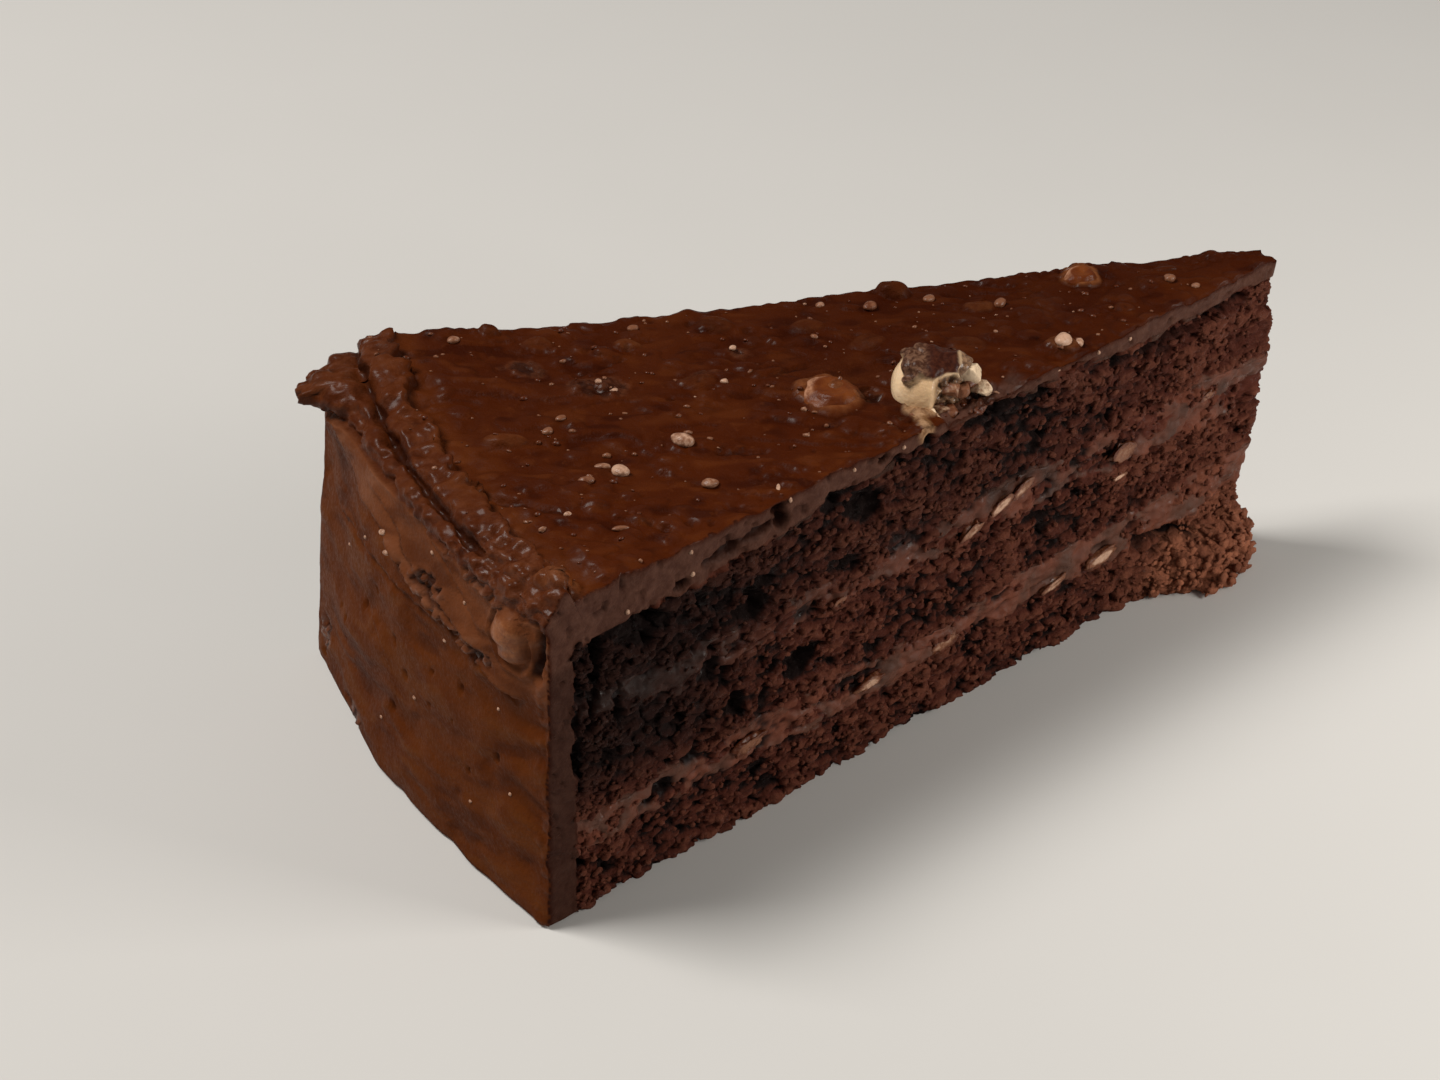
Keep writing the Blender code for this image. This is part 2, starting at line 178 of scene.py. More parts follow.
# The line round the cut sides: down the front cut to the blunt tip, round it, and up the far cut
RIM_COLUMNS = 60
TIP_STEPS = 14
WALL_STEPS = 16
TIP_ROUNDING = 9  # how many steps each corner of the tip is rounded over
TIP_SMOOTHINGS = 12
steps_inner = round((RIM_START - TIP_RADIUS) / CELL)
share_inner = (RIM_START - TIP_RADIUS) / (NEAR_RADIUS - WALL_THICKNESS - TIP_RADIUS)
rim_share = np.linspace(share_inner, 1, RIM_COLUMNS)[1:]
ALONG = np.concatenate([np.linspace(0, share_inner, steps_inner), rim_share])
tip_across = np.linspace(0, 1, TIP_STEPS + 2)[1:-1]
wall_across = np.linspace(1, 0, WALL_STEPS + 2)[1:-1]
ring_across = np.concatenate([0 * ALONG, tip_across, 0 * ALONG + 1, wall_across])
ring_along = np.concatenate([ALONG[::-1], 0 * tip_across, ALONG, 0 * wall_across + 1])
ring_radius = TIP_RADIUS + (sponge_radius(ring_across) - TIP_RADIUS) * ring_along
ring_angle = HALF_ANGLE * (2 * ring_across - 1)
ring_plan = plan_point(ring_radius, ring_angle)
ring_shown = np.ones(len(ring_across))  # 1 on the cut sides and the tip, 0 on the hidden outer side
ring_shown[-WALL_STEPS:] = 0
FIRST_TIP = len(ALONG)
LAST_TIP = len(ALONG) + TIP_STEPS
out_x = np.full(len(ring_across), math.sin(HALF_ANGLE))
out_y = np.where(ring_across < 0.5, -1, 1) * math.cos(HALF_ANGLE)
out_x[FIRST_TIP:LAST_TIP] = 1
out_y[FIRST_TIP:LAST_TIP] = 0
ring_out = np.stack([out_x, out_y], -1)
near_tip = slice(FIRST_TIP - TIP_ROUNDING, LAST_TIP + TIP_ROUNDING)
for _ in range(TIP_SMOOTHINGS):  # rounds off the two corners of the tip
    for line in (ring_plan, ring_out):
        line[near_tip] = (np.roll(line, 1, 0) + 2 * line + np.roll(line, -1, 0))[near_tip] / 4
ring_out /= np.linalg.norm(ring_out, axis=-1, keepdims=True)
ring_unrolled = TIP_WIDTH * ring_across  # how far round the tip

# Torn hollows in the front cut: distance from the wall's corner, height, radius, depth
HOLLOWS = (
    (0.0170, 0.0467, 0.0042, 0.0030),
    (0.0367, 0.0411, 0.0036, 0.0028),
    (0.0343, 0.0238, 0.0030, 0.0024),
    (0.0475, 0.0258, 0.0036, 0.0026),
    (0.0590, 0.0492, 0.0042, 0.0028),
    (0.0620, 0.0566, 0.0011, 0.0016),
    (0.0413, 0.0567, 0.0012, 0.0024),
    (0.0420, 0.0545, 0.0016, 0.0024),
    (0.0253, 0.0182, 0.0024, 0.0020),
    (0.0195, 0.0150, 0.0024, 0.0018),
    (0.0105, 0.0270, 0.0022, 0.0018),
    (0.0290, 0.0330, 0.0022, 0.0016),
    (0.0714, 0.0560, 0.0013, 0.0016),
    (0.0870, 0.0545, 0.0016, 0.0018),
    (0.1270, 0.0510, 0.0042, 0.0012),
    (0.1330, 0.0290, 0.0022, 0.0014),
)
# Cracks in it: places as distance from the wall's corner and height, then half width and depth
CRACKS = (
    (((0.113, 0.0532), (0.119, 0.0527), (0.125, 0.0532),
      (0.131, 0.0526), (0.1375, 0.0532), (0.144, 0.0531)), 0.0010, 0.0026),
    (((0.0044, 0.047), (0.0050, 0.042), (0.0044, 0.033), (0.0050, 0.023)), 0.0005, 0.0012),
    (((0.0084, 0.047), (0.0076, 0.041), (0.0068, 0.034)), 0.0008, 0.0016),
    (((0.0130, 0.043), (0.0116, 0.038), (0.0122, 0.032)), 0.0007, 0.0014),
    (((0.124, 0.0124), (0.1272, 0.0118), (0.1344, 0.0100), (0.1378, 0.0090)), 0.0015, 0.0032),
    (((0.0060, 0.0484), (0.012, 0.0492), (0.020, 0.0508),
      (0.029, 0.0536), (0.040, 0.0548)), 0.0006, 0.0018),
    (((0.050, 0.0546), (0.057, 0.0535), (0.066, 0.0553), (0.072, 0.0552)), 0.0005, 0.0016),
    (((0.080, 0.0545), (0.088, 0.0552), (0.097, 0.0540)), 0.0005, 0.0015),
    (((0.0215, 0.0200), (0.0270, 0.0172), (0.0320, 0.0186)), 0.0005, 0.0014),
    (((0.094, 0.0300), (0.101, 0.0290), (0.108, 0.0297)), 0.0005, 0.0012),
    (((0.062, 0.0425), (0.069, 0.0440), (0.076, 0.0432)), 0.0005, 0.0012),
)
SPREAD_HEIGHT = 0.0090  # of the foot at the tip
# Sizes of the clumps and pits of the crumb: along the cut, round the tip, up
BIG_CLUMP = (0.0040, 0.0026, 0.0019)
SMALL_CLUMP = (0.0021, 0.0014, 0.0010)
TINY_CLUMP = (0.0011, 0.0009, 0.0007)
PIT = (0.0028, 0.0016, 0.0013)
FOOT_CLUMP = (0.0030, 0.0028, 0.0026)
BIG_RELIEF = 0.00066
SMALL_RELIEF = 0.00056
TINY_RELIEF = 0.00034
PIT_DEPTH = 0.00115
HOLE_DEPTH = 0.0009
DENT_DEPTH = 0.0005  # in the cut icing
EDGE_RAGGEDNESS = 0.0009  # of the hollows and cracks
FOOT_REACH = 0.0080
TIP_BULGE = 0.0017


def line_distance(x, y, points):
    """How far each place is from a line through these points."""
    best = np.full(np.shape(x), 1.0)
    for (x0, y0), (x1, y1) in zip(points, points[1:]):
        long = math.hypot(x1 - x0, y1 - y0)
        share = np.clip(((x - x0) * (x1 - x0) + (y - y0) * (y1 - y0)) / long ** 2, 0, 1)
        best = np.minimum(best, np.hypot(x - x0 - share * (x1 - x0), y - y0 - share * (y1 - y0)))
    return best


def torn_surface(column, z, radius=None):
    """The torn sides at these places on the line round them and these heights: points in space, and
    how deep, creamy, iced and pale they are and a number of their own, each from 0 to 1."""
    radius = ring_radius[column] if radius is None else radius
    across = ring_across[column]
    place = np.stack([radius, ring_unrolled[column], z], -1)
    inward = NEAR_RADIUS - radius
    bent = bend(place, 0.00055, (0.0021, 0.002, 0.0016), 33)
    front = np.where(across < 0.5, 1.0, 0.0)
    wander = waves(place, ((0.0007, (0.0042, 0.003, 0.003), 11), (0.0004, (0.0016, 0.001, 0.001), 12)))

    # What shows at each place: cream, icing or crumb, with crumb torn over the cream
    cream = np.zeros(z.shape)
    for under, over in (("lower_under", "lower_over"), ("upper_under", "upper_over")):
        above = z - seam(under, radius, across) + wander
        below = seam(over, radius, across) - z + 0.0004 + wander
        cream = np.maximum(cream, ramp(np.minimum(above, below), -0.0002, 0.0007))
    crumbed = waves(place, ((1.0, (0.0062, 0.003, 0.0022), 13), (0.6, (0.0021, 0.002, 0.0013), 14)))
    crumbed += 0.22 * ramp(radius, 0.130, 0.146) * ramp(z, 0.026, 0.031)
    cream *= 1 - 0.92 * ramp(crumbed, -0.15, 0.30)
    iced = ramp(z - icing_under(radius) + 1.8 * wander, -0.0004, 0.0005)
    iced = np.maximum(iced, ramp(radius - sponge_radius(across), -0.0002, 0.0002))
    crumb = (1 - cream) * (1 - iced)

    # How far it stands out
    big, big_way, _ = clumps(bent, BIG_CLUMP, 21)
    small, small_way, small_number = clumps(bent, SMALL_CLUMP, 22)
    tiny, _, _ = clumps(bent, TINY_CLUMP, 32)
    pits, _, pit_number = clumps(bent, PIT, 36)
    pits = ramp(pits, 0.45, 0.95) * ramp(pit_number, 0.30, 0.45)
    lumpy = BIG_RELIEF * (big - 0.62) + SMALL_RELIEF * (small - 0.60) + TINY_RELIEF * (tiny - 0.55)
    lumpy = lumpy - PIT_DEPTH * pits
    holes = waves(place, ((1.0, (0.0040, 0.003, 0.0022), 25), (0.45, (0.0015, 0.001, 0.001), 26)))
    out = 0.0006 * soft_noise(place, (0.0075, 0.006, 0.005), 24) * (1 - 0.6 * iced)
    out += crumb * lumpy
    out -= crumb * HOLE_DEPTH * ramp(holes, 0.55, 0.95)
    out += cream * (0.00022 * soft_noise(place, (0.0034, 0.003, 0.0016), 27) + 0.00044 * (big - 0.6))
    out += cream * (0.00036 * (small - 0.6) + 0.00010 * (tiny - 0.55))
    out += iced * 0.00024 * soft_noise(place, (0.0030, 0.003, 0.0024), 28)
    out -= iced * DENT_DEPTH * ramp(soft_noise(place, (0.0016, 0.002, 0.0011), 29), 0.62, 0.85)

    # The hollows and cracks of the front cut
    rough_edge = EDGE_RAGGEDNESS * soft_noise(place, (0.0019, 0.002, 0.0017), 30)
    for from_corner, height, size, depth in HOLLOWS:
        away = np.hypot((inward - from_corner) / 1.25, z - height) + rough_edge * min(1.0, size / 0.003)
        out -= front * depth * ramp(away, size, 0.25 * size)
    gap = np.zeros(z.shape)
    for points, half_width, depth in CRACKS:
        away = line_distance(inward, z, points) + 0.8 * rough_edge
        out -= front * depth * ramp(away, 1.5 * half_width, 0.2 * half_width)
        gap = np.maximum(gap, front * ramp(away, 1.2 * half_width, 0.4 * half_width))
    shown = ring_shown[column]
    out = out * shown
    # deep is how far each place lies in a hole, pit or crack; the material paints it dark as painted shade,
    # less so near the tip
    deep = ramp(out, 0.0005, -0.0016) * (1 - 0.40 * ramp(radius, 0.060, 0.020))
    deep = np.maximum(deep, 0.9 * gap * shown)

    # The foot near the tip, and the bulge of the tip halfway up
    profile = np.sqrt(np.clip(1 - (z / SPREAD_HEIGHT) ** 2, 0, 1))
    spread = FOOT_REACH * ramp(radius, 0.0055, 0.0155) * ramp(radius, 0.0370, 0.0210) * profile
    spread *= (1 - across) * shown
    knobs, knob_way, _ = clumps(place, FOOT_CLUMP, 31)
    foot = ramp(spread, 0.0003, 0.0030)
    out += foot * (0.0012 * (knobs - 0.7) + 0.0007 * (big - 0.6))
    tipward = ramp(radius, 0.0135, 0.0095)
    out *= 1 - 0.35 * tipward
    bulge = TIP_BULGE * ramp(z, 0.017, 0.027) * ramp(z, 0.054, 0.044) + 0.0016 * profile
    bulge *= tipward * shown

    # The clumps also lean out sideways, which undercuts them
    push = 0.42 * crumb[..., None] * (big[..., None] * big_way + small[..., None] * small_way)
    push += 0.25 * foot[..., None] * knobs[..., None] * knob_way
    push *= (shown * (1 - 0.7 * tipward))[..., None]
    outer_way = np.stack([-ring_out[column][..., 1], ring_out[column][..., 0]], -1)
    outer_way = outer_way * np.where(across < 0.5, -1, 1)[..., None]
    plan = ring_plan[column] + ring_out[column] * out[..., None] + outer_way * push[..., :1]
    plan = plan + spread[..., None] * np.array([math.sin(HALF_ANGLE), -math.cos(HALF_ANGLE)])
    plan[..., 0] += bulge
    height = z + push[..., 2] * ramp(z, 0.0, 0.0015) * (1 - iced)
    points = np.concatenate([plan, height[..., None]], -1)

    # Painted light and shade: darker near the wall and higher up, paler low down, at the tip and on the foot
    pale = ramp(radius, 0.150, 0.105) * (1 - 0.40 * ramp(z, 0.026, 0.040))
    pale = 0.30 * np.maximum(pale, ramp(z, 0.030, 0.012))
    near_foot = ramp(z, 0.024, 0.010) * ramp(radius, 0.050, 0.022)
    pale = np.clip(pale + 0.10 * ramp(radius, 0.090, 0.012) + 0.25 * near_foot + 0.60 * foot, 0, 1)
    marks = {"deep": deep, "cream": cream, "iced": iced, "pale": pale, "number": small_number}
    return points, marks


def keep_in_box(points):
    """No point may leave the box of the solids."""
    low = np.array(cad_box[0]) + BOX_GAP
    high = np.array(cad_box[1]) - BOX_GAP
    return np.clip(points, low, high)


def add_marks(mesh, marks):
    """Writes numbers from 0 to 1 on the mesh's points, for its material to read."""
    for name, values in marks.items():
        written = mesh.attributes.new(name, "FLOAT", "POINT")
        written.data.foreach_set("value", np.ascontiguousarray(values, np.float32).ravel())


def new_piece(name, points, faces, marks=None):
    """A mesh object with smooth faces that all look outwards."""
    mesh = bpy.data.meshes.new(name)
    mesh.from_pydata(keep_in_box(points).tolist(), [], faces)
    if marks:
        add_marks(mesh, marks)
    bm = bmesh.new()
    bm.from_mesh(mesh)
    bmesh.ops.recalc_face_normals(bm, faces=bm.faces)
    bm.to_mesh(mesh)
    bm.free()
    mesh.polygons.foreach_set("use_smooth", [True] * len(mesh.polygons))
    piece = bpy.data.objects.new(name, mesh)
    bpy.context.scene.collection.objects.link(piece)
    return piece


def grid_faces(rows, columns, start=0, closed=False):
    """The four-sided faces of a grid of points numbered row by row."""
    row, column = np.mgrid[0:rows - 1, 0:columns if closed else columns - 1]
    right = (column + 1) % columns
    corners = [row * columns + column, row * columns + right]
    corners += [(row + 1) * columns + right, (row + 1) * columns + column]
    return (np.stack(corners, -1).reshape(-1, 4) + start).tolist()


def cap_faces(start):
    """Closes a layer's top or bottom, between the front cut and the far cut."""
    last_front = len(ALONG) - 1
    first_far = LAST_TIP
    faces = []
    for step in range(last_front):
        front = last_front - step
        far = first_far + step
        faces.append([start + front, start + far, start + far + 1, start + front - 1])
    faces.append([start + place for place in range(last_front, first_far + 1)])
    outer = list(range(first_far + last_front, len(ring_across))) + [0]
    faces.append([start + place for place in outer])
    return faces


def cake_layer(name, under, over, shares):
    """One layer of the slice between two seams, with its rows of points at these shares of its height."""
    column = np.arange(len(ring_across))
    low = under(ring_radius, ring_across)
    high = over(ring_radius, ring_across)
    z = low + (high - low) * shares[:, None]
    points, marks = torn_surface(np.broadcast_to(column, z.shape), z)
    rows, columns = z.shape
    faces = grid_faces(rows, columns, closed=True)
    faces += cap_faces(0)
    faces += cap_faces((rows - 1) * columns)
    return new_piece(name, points.reshape(-1, 3), faces, marks)


def group_sockets(tree, inputs, outputs):
    """Gives a node group its named colour inputs, with their values, and its outputs."""
    for name, colour in inputs.items():
        socket = tree.interface.new_socket(name, in_out="INPUT", socket_type="NodeSocketColor")
        socket.default_value = (*colour, 1.0)
    for name, kind in outputs:
        tree.interface.new_socket(name, in_out="OUTPUT", socket_type=kind)
    return tree.nodes.new("NodeGroupInput").outputs, tree.nodes.new("NodeGroupOutput").inputs


def set_sockets(tree, sockets, values):
    """Links each value to its socket, or writes it there if it is a plain number or colour."""
    for key, value in values.items():
        if isinstance(value, bpy.types.NodeSocket):
            tree.links.new(value, sockets[key])
        elif isinstance(value, tuple) and len(value) == 3 and sockets[key].type == "RGBA":
            sockets[key].default_value = (*value, 1.0)
        else:
            sockets[key].default_value = value


def add_math(tree, operation, first, second):
    node = tree.nodes.new("ShaderNodeMath")
    node.operation = operation
    set_sockets(tree, node.inputs, {0: first, 1: second})
    return node.outputs[0]


def add_blend(tree, share, first, second):
    """A mix of two colours."""
    node = tree.nodes.new("ShaderNodeMix")
    node.data_type = "RGBA"
    set_sockets(tree, node.inputs, {0: share, 6: first, 7: second})
    return node.outputs[2]


def add_range(tree, value, start, end, low=0.0, high=1.0):
    """A smooth step of a value, from low at the start to high at the end."""
    node = tree.nodes.new("ShaderNodeMapRange")
    node.interpolation_type = "SMOOTHSTEP"
    set_sockets(tree, node.inputs, {0: value, 1: start, 2: end, 3: low, 4: high})
    return node.outputs[0]


def add_tones(tree, value, start, end, first, second):
    """A colour that goes from the first to the second as the value goes from start to end."""
    return add_blend(tree, add_range(tree, value, start, end), first, second)


def add_grain(tree, size, detail=3.0, roughness=0.5, stretch=(1.0, 1.0, 1.0)):
    """Noise with waves of about this size in metres, fixed to the cake."""
    place = tree.nodes.new("ShaderNodeTexCoord")
    scaled = tree.nodes.new("ShaderNodeMapping")
    scaled.vector_type = "TEXTURE"
    scaled.inputs["Scale"].default_value = stretch
    tree.links.new(place.outputs["Object"], scaled.inputs["Vector"])
    node = tree.nodes.new("ShaderNodeTexNoise")
    values = {"Vector": scaled.outputs[0], "Scale": 1 / size, "Detail": detail, "Roughness": roughness}
    set_sockets(tree, node.inputs, values)
    return node.outputs[0]


def add_mark(tree, name):
    """Reads one of the numbers written on the mesh's points."""
    node = tree.nodes.new("ShaderNodeAttribute")
    node.attribute_name = name
    return node.outputs["Fac"]


# The first colour paints shade in the holes and near the wall, the crest colour paints light on the crests,
# and the last paints light on the crumb towards the tip and foot
SPONGE_COLOURS = {
    "Painted Shade Colour": (0.0070, 0.0016, 0.0009),
    "Crumb Colour": (0.084, 0.0190, 0.0100),
    "Crest Colour": (0.158, 0.0475, 0.0258),
    "Cream Colour": (0.086, 0.0370, 0.0240),
    "Painted Light Colour": (0.500, 0.1850, 0.0980),
}


def crumb_look():
    """Torn cake and cream: painted shade in the holes, painted light on the crests, with cream smeared over
    it.
    """
    tree = bpy.data.node_groups.new("torn_crumb", "ShaderNodeTree")
    given, result = group_sockets(
        tree,
        SPONGE_COLOURS,
        (("Colour", "NodeSocketColor"), ("Roughness", "NodeSocketFloat"), ("Height", "NodeSocketFloat")),
    )
    deep = add_mark(tree, "deep")
    grain = add_grain(tree, 0.0009, 4.0, 0.65)
    patch = add_grain(tree, 0.0060, 3.0, 0.5)
    # Painted shade in the holes and painted light on the crests
    crest = add_math(tree, "ADD", add_range(tree, deep, 0.45, 0.05), add_math(tree, "MULTIPLY", grain, 0.6))
    crest = add_range(tree, crest, 0.45, 1.35)
    sponge = add_blend(tree, crest, given["Crumb Colour"], given["Crest Colour"])
    # Painted light: paler towards the tip and on the foot, where the pale mark is high
    pale = add_mark(tree, "pale")
    painted_light = add_range(tree, pale, 0.30, 1.0)
    painted_light = add_math(tree, "MULTIPLY", painted_light, add_range(tree, patch, 0.25, 0.65, 0.5, 1.0))
    sponge = add_blend(tree, add_math(tree, "MULTIPLY", painted_light, 0.75), sponge, given["Painted Light Colour"])
    own = add_range(tree, add_mark(tree, "number"), 0.0, 1.0, 0.0, 0.45)
    sponge = add_blend(tree, own, sponge, given["Crumb Colour"])
    cream_share = add_mark(tree, "cream")
    mixed = add_math(tree, "ADD", cream_share, add_range(tree, grain, 0.3, 0.7, -0.22, 0.22))
    cream = add_tones(tree, patch, 0.3, 0.7, given["Cream Colour"], given["Crest Colour"])
    colour = add_tones(tree, mixed, 0.25, 0.75, sponge, cream)
    iced = add_tones(tree, add_mark(tree, "iced"), 0.3, 0.8, colour, given["Cream Colour"])
    # Painted shade: darker near the wall and higher up, where the pale mark is low
    shaded_crumb = add_blend(tree, add_range(tree, pale, 0.0, 0.30, 0.84, 0.0), iced, given["Painted Shade Colour"])
    # Painted shade: the holes, pits and cracks go towards the shade colour
    colour = add_tones(tree, deep, 0.42, 0.90, shaded_crumb, given["Painted Shade Colour"])
    roughness = add_range(tree, cream_share, 0.2, 0.9, 0.80, 0.50)
    moist = add_range(tree, add_grain(tree, 0.0013, 3.0, 0.6), 0.54, 0.62, 0.0, 0.52)
    roughness = add_math(tree, "SUBTRACT", roughness, moist)
    bump = add_math(tree, "MULTIPLY", add_grain(tree, 0.0006, 5.0, 0.7, (1.9, 1.9, 0.9)),
                    add_range(tree, cream_share, 0.1, 0.9, 1.0, 0.35))
    set_sockets(tree, result, {"Colour": colour, "Roughness": roughness, "Height": bump})
    return tree


def new_material(name, specular, subsurface=0.0):
    """A material with its surface shader, and the two to add nodes to."""
    material = bpy.data.materials.new(name)
    material.use_nodes = True
    tree = material.node_tree
    surface = tree.nodes["Principled BSDF"]
    surface.inputs["Specular IOR Level"].default_value = specular
    surface.inputs["Subsurface Weight"].default_value = subsurface
    return material, tree, surface


def add_bump(tree, surface, height, distance):
    node = tree.nodes.new("ShaderNodeBump")
    set_sockets(tree, node.inputs, {"Strength": 1.0, "Distance": distance, "Height": height})
    tree.links.new(node.outputs[0], surface.inputs["Normal"])


CRUMB_LOOK = crumb_look()


def crumb_material(name, colours, bump):
    """Torn cake with its own colours, and a relief of this height in its bump."""
    material, tree, surface = new_material(name, specular=0.14)
    look = tree.nodes.new("ShaderNodeGroup")
    look.node_tree = CRUMB_LOOK
    set_sockets(tree, look.inputs, colours)
    tree.links.new(look.outputs["Colour"], surface.inputs["Base Color"])
    tree.links.new(look.outputs["Roughness"], surface.inputs["Roughness"])
    add_bump(tree, surface, look.outputs["Height"], bump)
    return material


SPONGE_MATERIAL = crumb_material("chocolate_sponge", SPONGE_COLOURS, bump=0.0008)


def floor_line(radius, across):
    return 0 * radius


def seam_line(name):
    return lambda radius, across: seam(name, radius, across)


# The rows lie closer where the foot turns level
bottom_rows = [np.linspace(0, 0.62, 22), np.linspace(0.62, 0.80, 20)[1:], np.linspace(0.80, 1, 8)[1:]]
bottom_rows = np.concatenate(bottom_rows)
bottom_sponge = cake_layer("bottom_sponge_crumb", floor_line, seam_line("lower_under"), bottom_rows)
bottom_sponge.data.materials.append(SPONGE_MATERIAL)
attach(bottom_sponge, "root")
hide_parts("sponge_bottom")


# Lower filling: chocolate cream with chopped hazelnut, spread on the bottom sponge. The knife has
# smeared it and pressed crumbs into it, so it shows as a soft, paler band with broken edges.

FILLING_THICKNESS = 0.0070
FILLING_BUMP = 0.0003


def even_rows(thickness):
    """Rows about one cell apart, as shares of a layer's thickness."""
    return np.linspace(0, 1, round(thickness / CELL) + 1)


CREAM_MATERIAL = crumb_material(
    "chocolate_cream_filling", {**SPONGE_COLOURS, "Cream Colour": (0.090, 0.0400, 0.0265)}, FILLING_BUMP
)
lower_filling = cake_layer(
    "lower_filling_cream", seam_line("lower_under"), seam_line("lower_over"), even_rows(FILLING_THICKNESS)
)
lower_filling.data.materials.append(CREAM_MATERIAL)
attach(lower_filling, "root")
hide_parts("filling_lower")


# Middle sponge: the second layer of the same cake, laid on the lower filling. It is cut and torn like
# the bottom one.

MIDDLE_THICKNESS = 0.0148
middle_sponge = cake_layer(
    "middle_sponge_crumb", seam_line("lower_over"), seam_line("upper_under"), even_rows(MIDDLE_THICKNESS)
)
middle_sponge.data.materials.append(SPONGE_MATERIAL)
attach(middle_sponge, "root")
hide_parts("sponge_middle")


# Upper filling: the same cream, spread on the middle sponge. This copy of it is painted a little
# darker than the lower one, as painted shade.

SHADED_UPPER_CREAM_MATERIAL = crumb_material(
    "upper_chocolate_cream_shaded", {**SPONGE_COLOURS, "Cream Colour": (0.066, 0.0300, 0.0205)}, FILLING_BUMP
)
upper_filling = cake_layer(
    "upper_filling_cream", seam_line("upper_under"), seam_line("upper_over"), even_rows(FILLING_THICKNESS)
)
upper_filling.data.materials.append(SHADED_UPPER_CREAM_MATERIAL)
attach(upper_filling, "root")
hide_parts("filling_upper")


# Top sponge: the third layer of the cake, under the icing. It has torn away from the icing in places,
# which leaves dark cracks and hollows there.

TOP_THICKNESS = 0.0145


def icing_line(radius, across):
    return icing_under(radius) + 0 * across


top_sponge = cake_layer("top_sponge_crumb", seam_line("upper_over"), icing_line, even_rows(TOP_THICKNESS))
top_sponge.data.materials.append(SPONGE_MATERIAL)
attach(top_sponge, "root")
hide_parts("sponge_top")


# Crumbs on the cut sides: bits of the same cake that hang on where the knife tore it. They are round
# clumps of about 0.5 to 3 mm, thickest on the foot near the tip.

CRUMBS = 5200
CRUMB_SIZES = (0.00030, 0.00072)  # the smallest and largest half width
FOOT_CRUMBS = 300
FOOT_CRUMB_SIZES = (0.0004, 0.0012)
CRUMB_HEIGHTS = (0.0006, 0.0545)
FOOT_CRUMB_HEIGHTS = (0.0008, 0.0090)
FOOT_COLUMNS = 85  # how far the foot reaches along the front cut
CRUMB_SHAPES = 12


class Handful:
    """Small bodies gathered into one mesh, with the numbers on their points for the material."""

    def __init__(self):
        self.count = 0
        self.points = []
        self.faces = []
        self.marks = {}

    def add(self, points, faces, **marks):
        self.faces += (faces + self.count).tolist()
        self.points.append(points)
        self.count += len(points)
        for name, values in marks.items():
            self.marks.setdefault(name, []).append(np.broadcast_to(values, len(points)))

    def piece(self, name):
        marks = {mark: np.concatenate(values) for mark, values in self.marks.items()}
        return new_piece(name, np.concatenate(self.points), self.faces, marks)


def ball(subdivisions):
    """The points and faces of a ball of unit size."""
    bm = bmesh.new()
    bmesh.ops.create_icosphere(bm, subdivisions=subdivisions, radius=1.0)
    points = np.array([vert.co for vert in bm.verts])
    faces = np.array([[vert.index for vert in face.verts] for face in bm.faces])
    bm.free()
    return points, faces


def crumb_shape(draw):
    """The points and faces of one lumpy ball of unit size."""
    shift = Vector([draw.uniform(0, 50) for _ in range(3)])
    points, faces = ball(1)
    bump = 1 + 0.45 * soft_noise(points * 0.9 + np.array(shift), (1, 1, 1), 3)
    return points * bump[:, None], faces


def scatter_crumbs(crumbs, draw, wanted, sizes, columns, heights, pick):
    """Adds crumbs laid on the torn sides, at those of the places that pick allows."""
    shapes = [crumb_shape(draw) for _ in range(CRUMB_SHAPES)]
    spots, marks = torn_surface(columns, heights)
    allowed = pick(columns, heights, marks, np.array([draw.random() for _ in columns]))
    for place in np.flatnonzero(allowed)[:wanted]:
        shape, faces = shapes[draw.randrange(CRUMB_SHAPES)]
        size = sizes[0] + (sizes[1] - sizes[0]) * draw.random() ** 2
        out = np.append(ring_out[columns[place]], 0.15)
        turn = Matrix.Rotation(math.atan2(out[1], out[0]) + math.pi / 2 + draw.uniform(-0.5, 0.5), 3, "Z")
        turn = turn @ Matrix.Rotation(draw.uniform(-0.7, 0.7), 3, "Y")
        stretch = np.array([draw.uniform(0.9, 1.6), draw.uniform(0.6, 0.9), draw.uniform(0.6, 0.9)])
        points = (shape * stretch * size) @ np.array(turn).T + spots[place] + out * size * 0.35
        number = draw.random()
        crumbs.add(points, faces, number=number, pale=marks["pale"][place],
                   cream=0.4 * marks["cream"][place], deep=0.05 + 0.25 * number, iced=0.0)


def on_crumb(columns, heights, marks, chances):
    """Mostly on bare crumb, and some along the seam under the icing."""
    crumb = (1 - marks["cream"]) * (1 - marks["iced"]) * (1 - marks["deep"])
    from_icing = icing_under(ring_radius[columns]) - heights
    chances = chances + (ring_radius[columns] < 0.0115)  # none on the tip's edge, where they would stick out
    return ((chances < crumb) & (from_icing > 0.0002)) | ((chances < 0.30) & (np.abs(from_icing) < 0.0009))


def on_foot(columns, heights, marks, chances):
    return marks["pale"] > 0.80


fallen = random.Random(5)
last_cut = len(ring_across) - WALL_STEPS
anywhere = np.array([fallen.randrange(0, last_cut) for _ in range(CRUMBS * 4)])
any_height = np.array([fallen.uniform(*CRUMB_HEIGHTS) for _ in anywhere])
foot_start = FIRST_TIP - FOOT_COLUMNS
by_the_foot = np.array([fallen.randrange(foot_start, LAST_TIP) for _ in range(FOOT_CRUMBS * 2)])
foot_height = np.array([fallen.uniform(*FOOT_CRUMB_HEIGHTS) for _ in by_the_foot])
crumbs = Handful()
scatter_crumbs(crumbs, fallen, CRUMBS, CRUMB_SIZES, anywhere, any_height, on_crumb)
scatter_crumbs(crumbs, fallen, FOOT_CRUMBS, FOOT_CRUMB_SIZES, by_the_foot, foot_height, on_foot)
side_crumbs = crumbs.piece("side_crumbs")
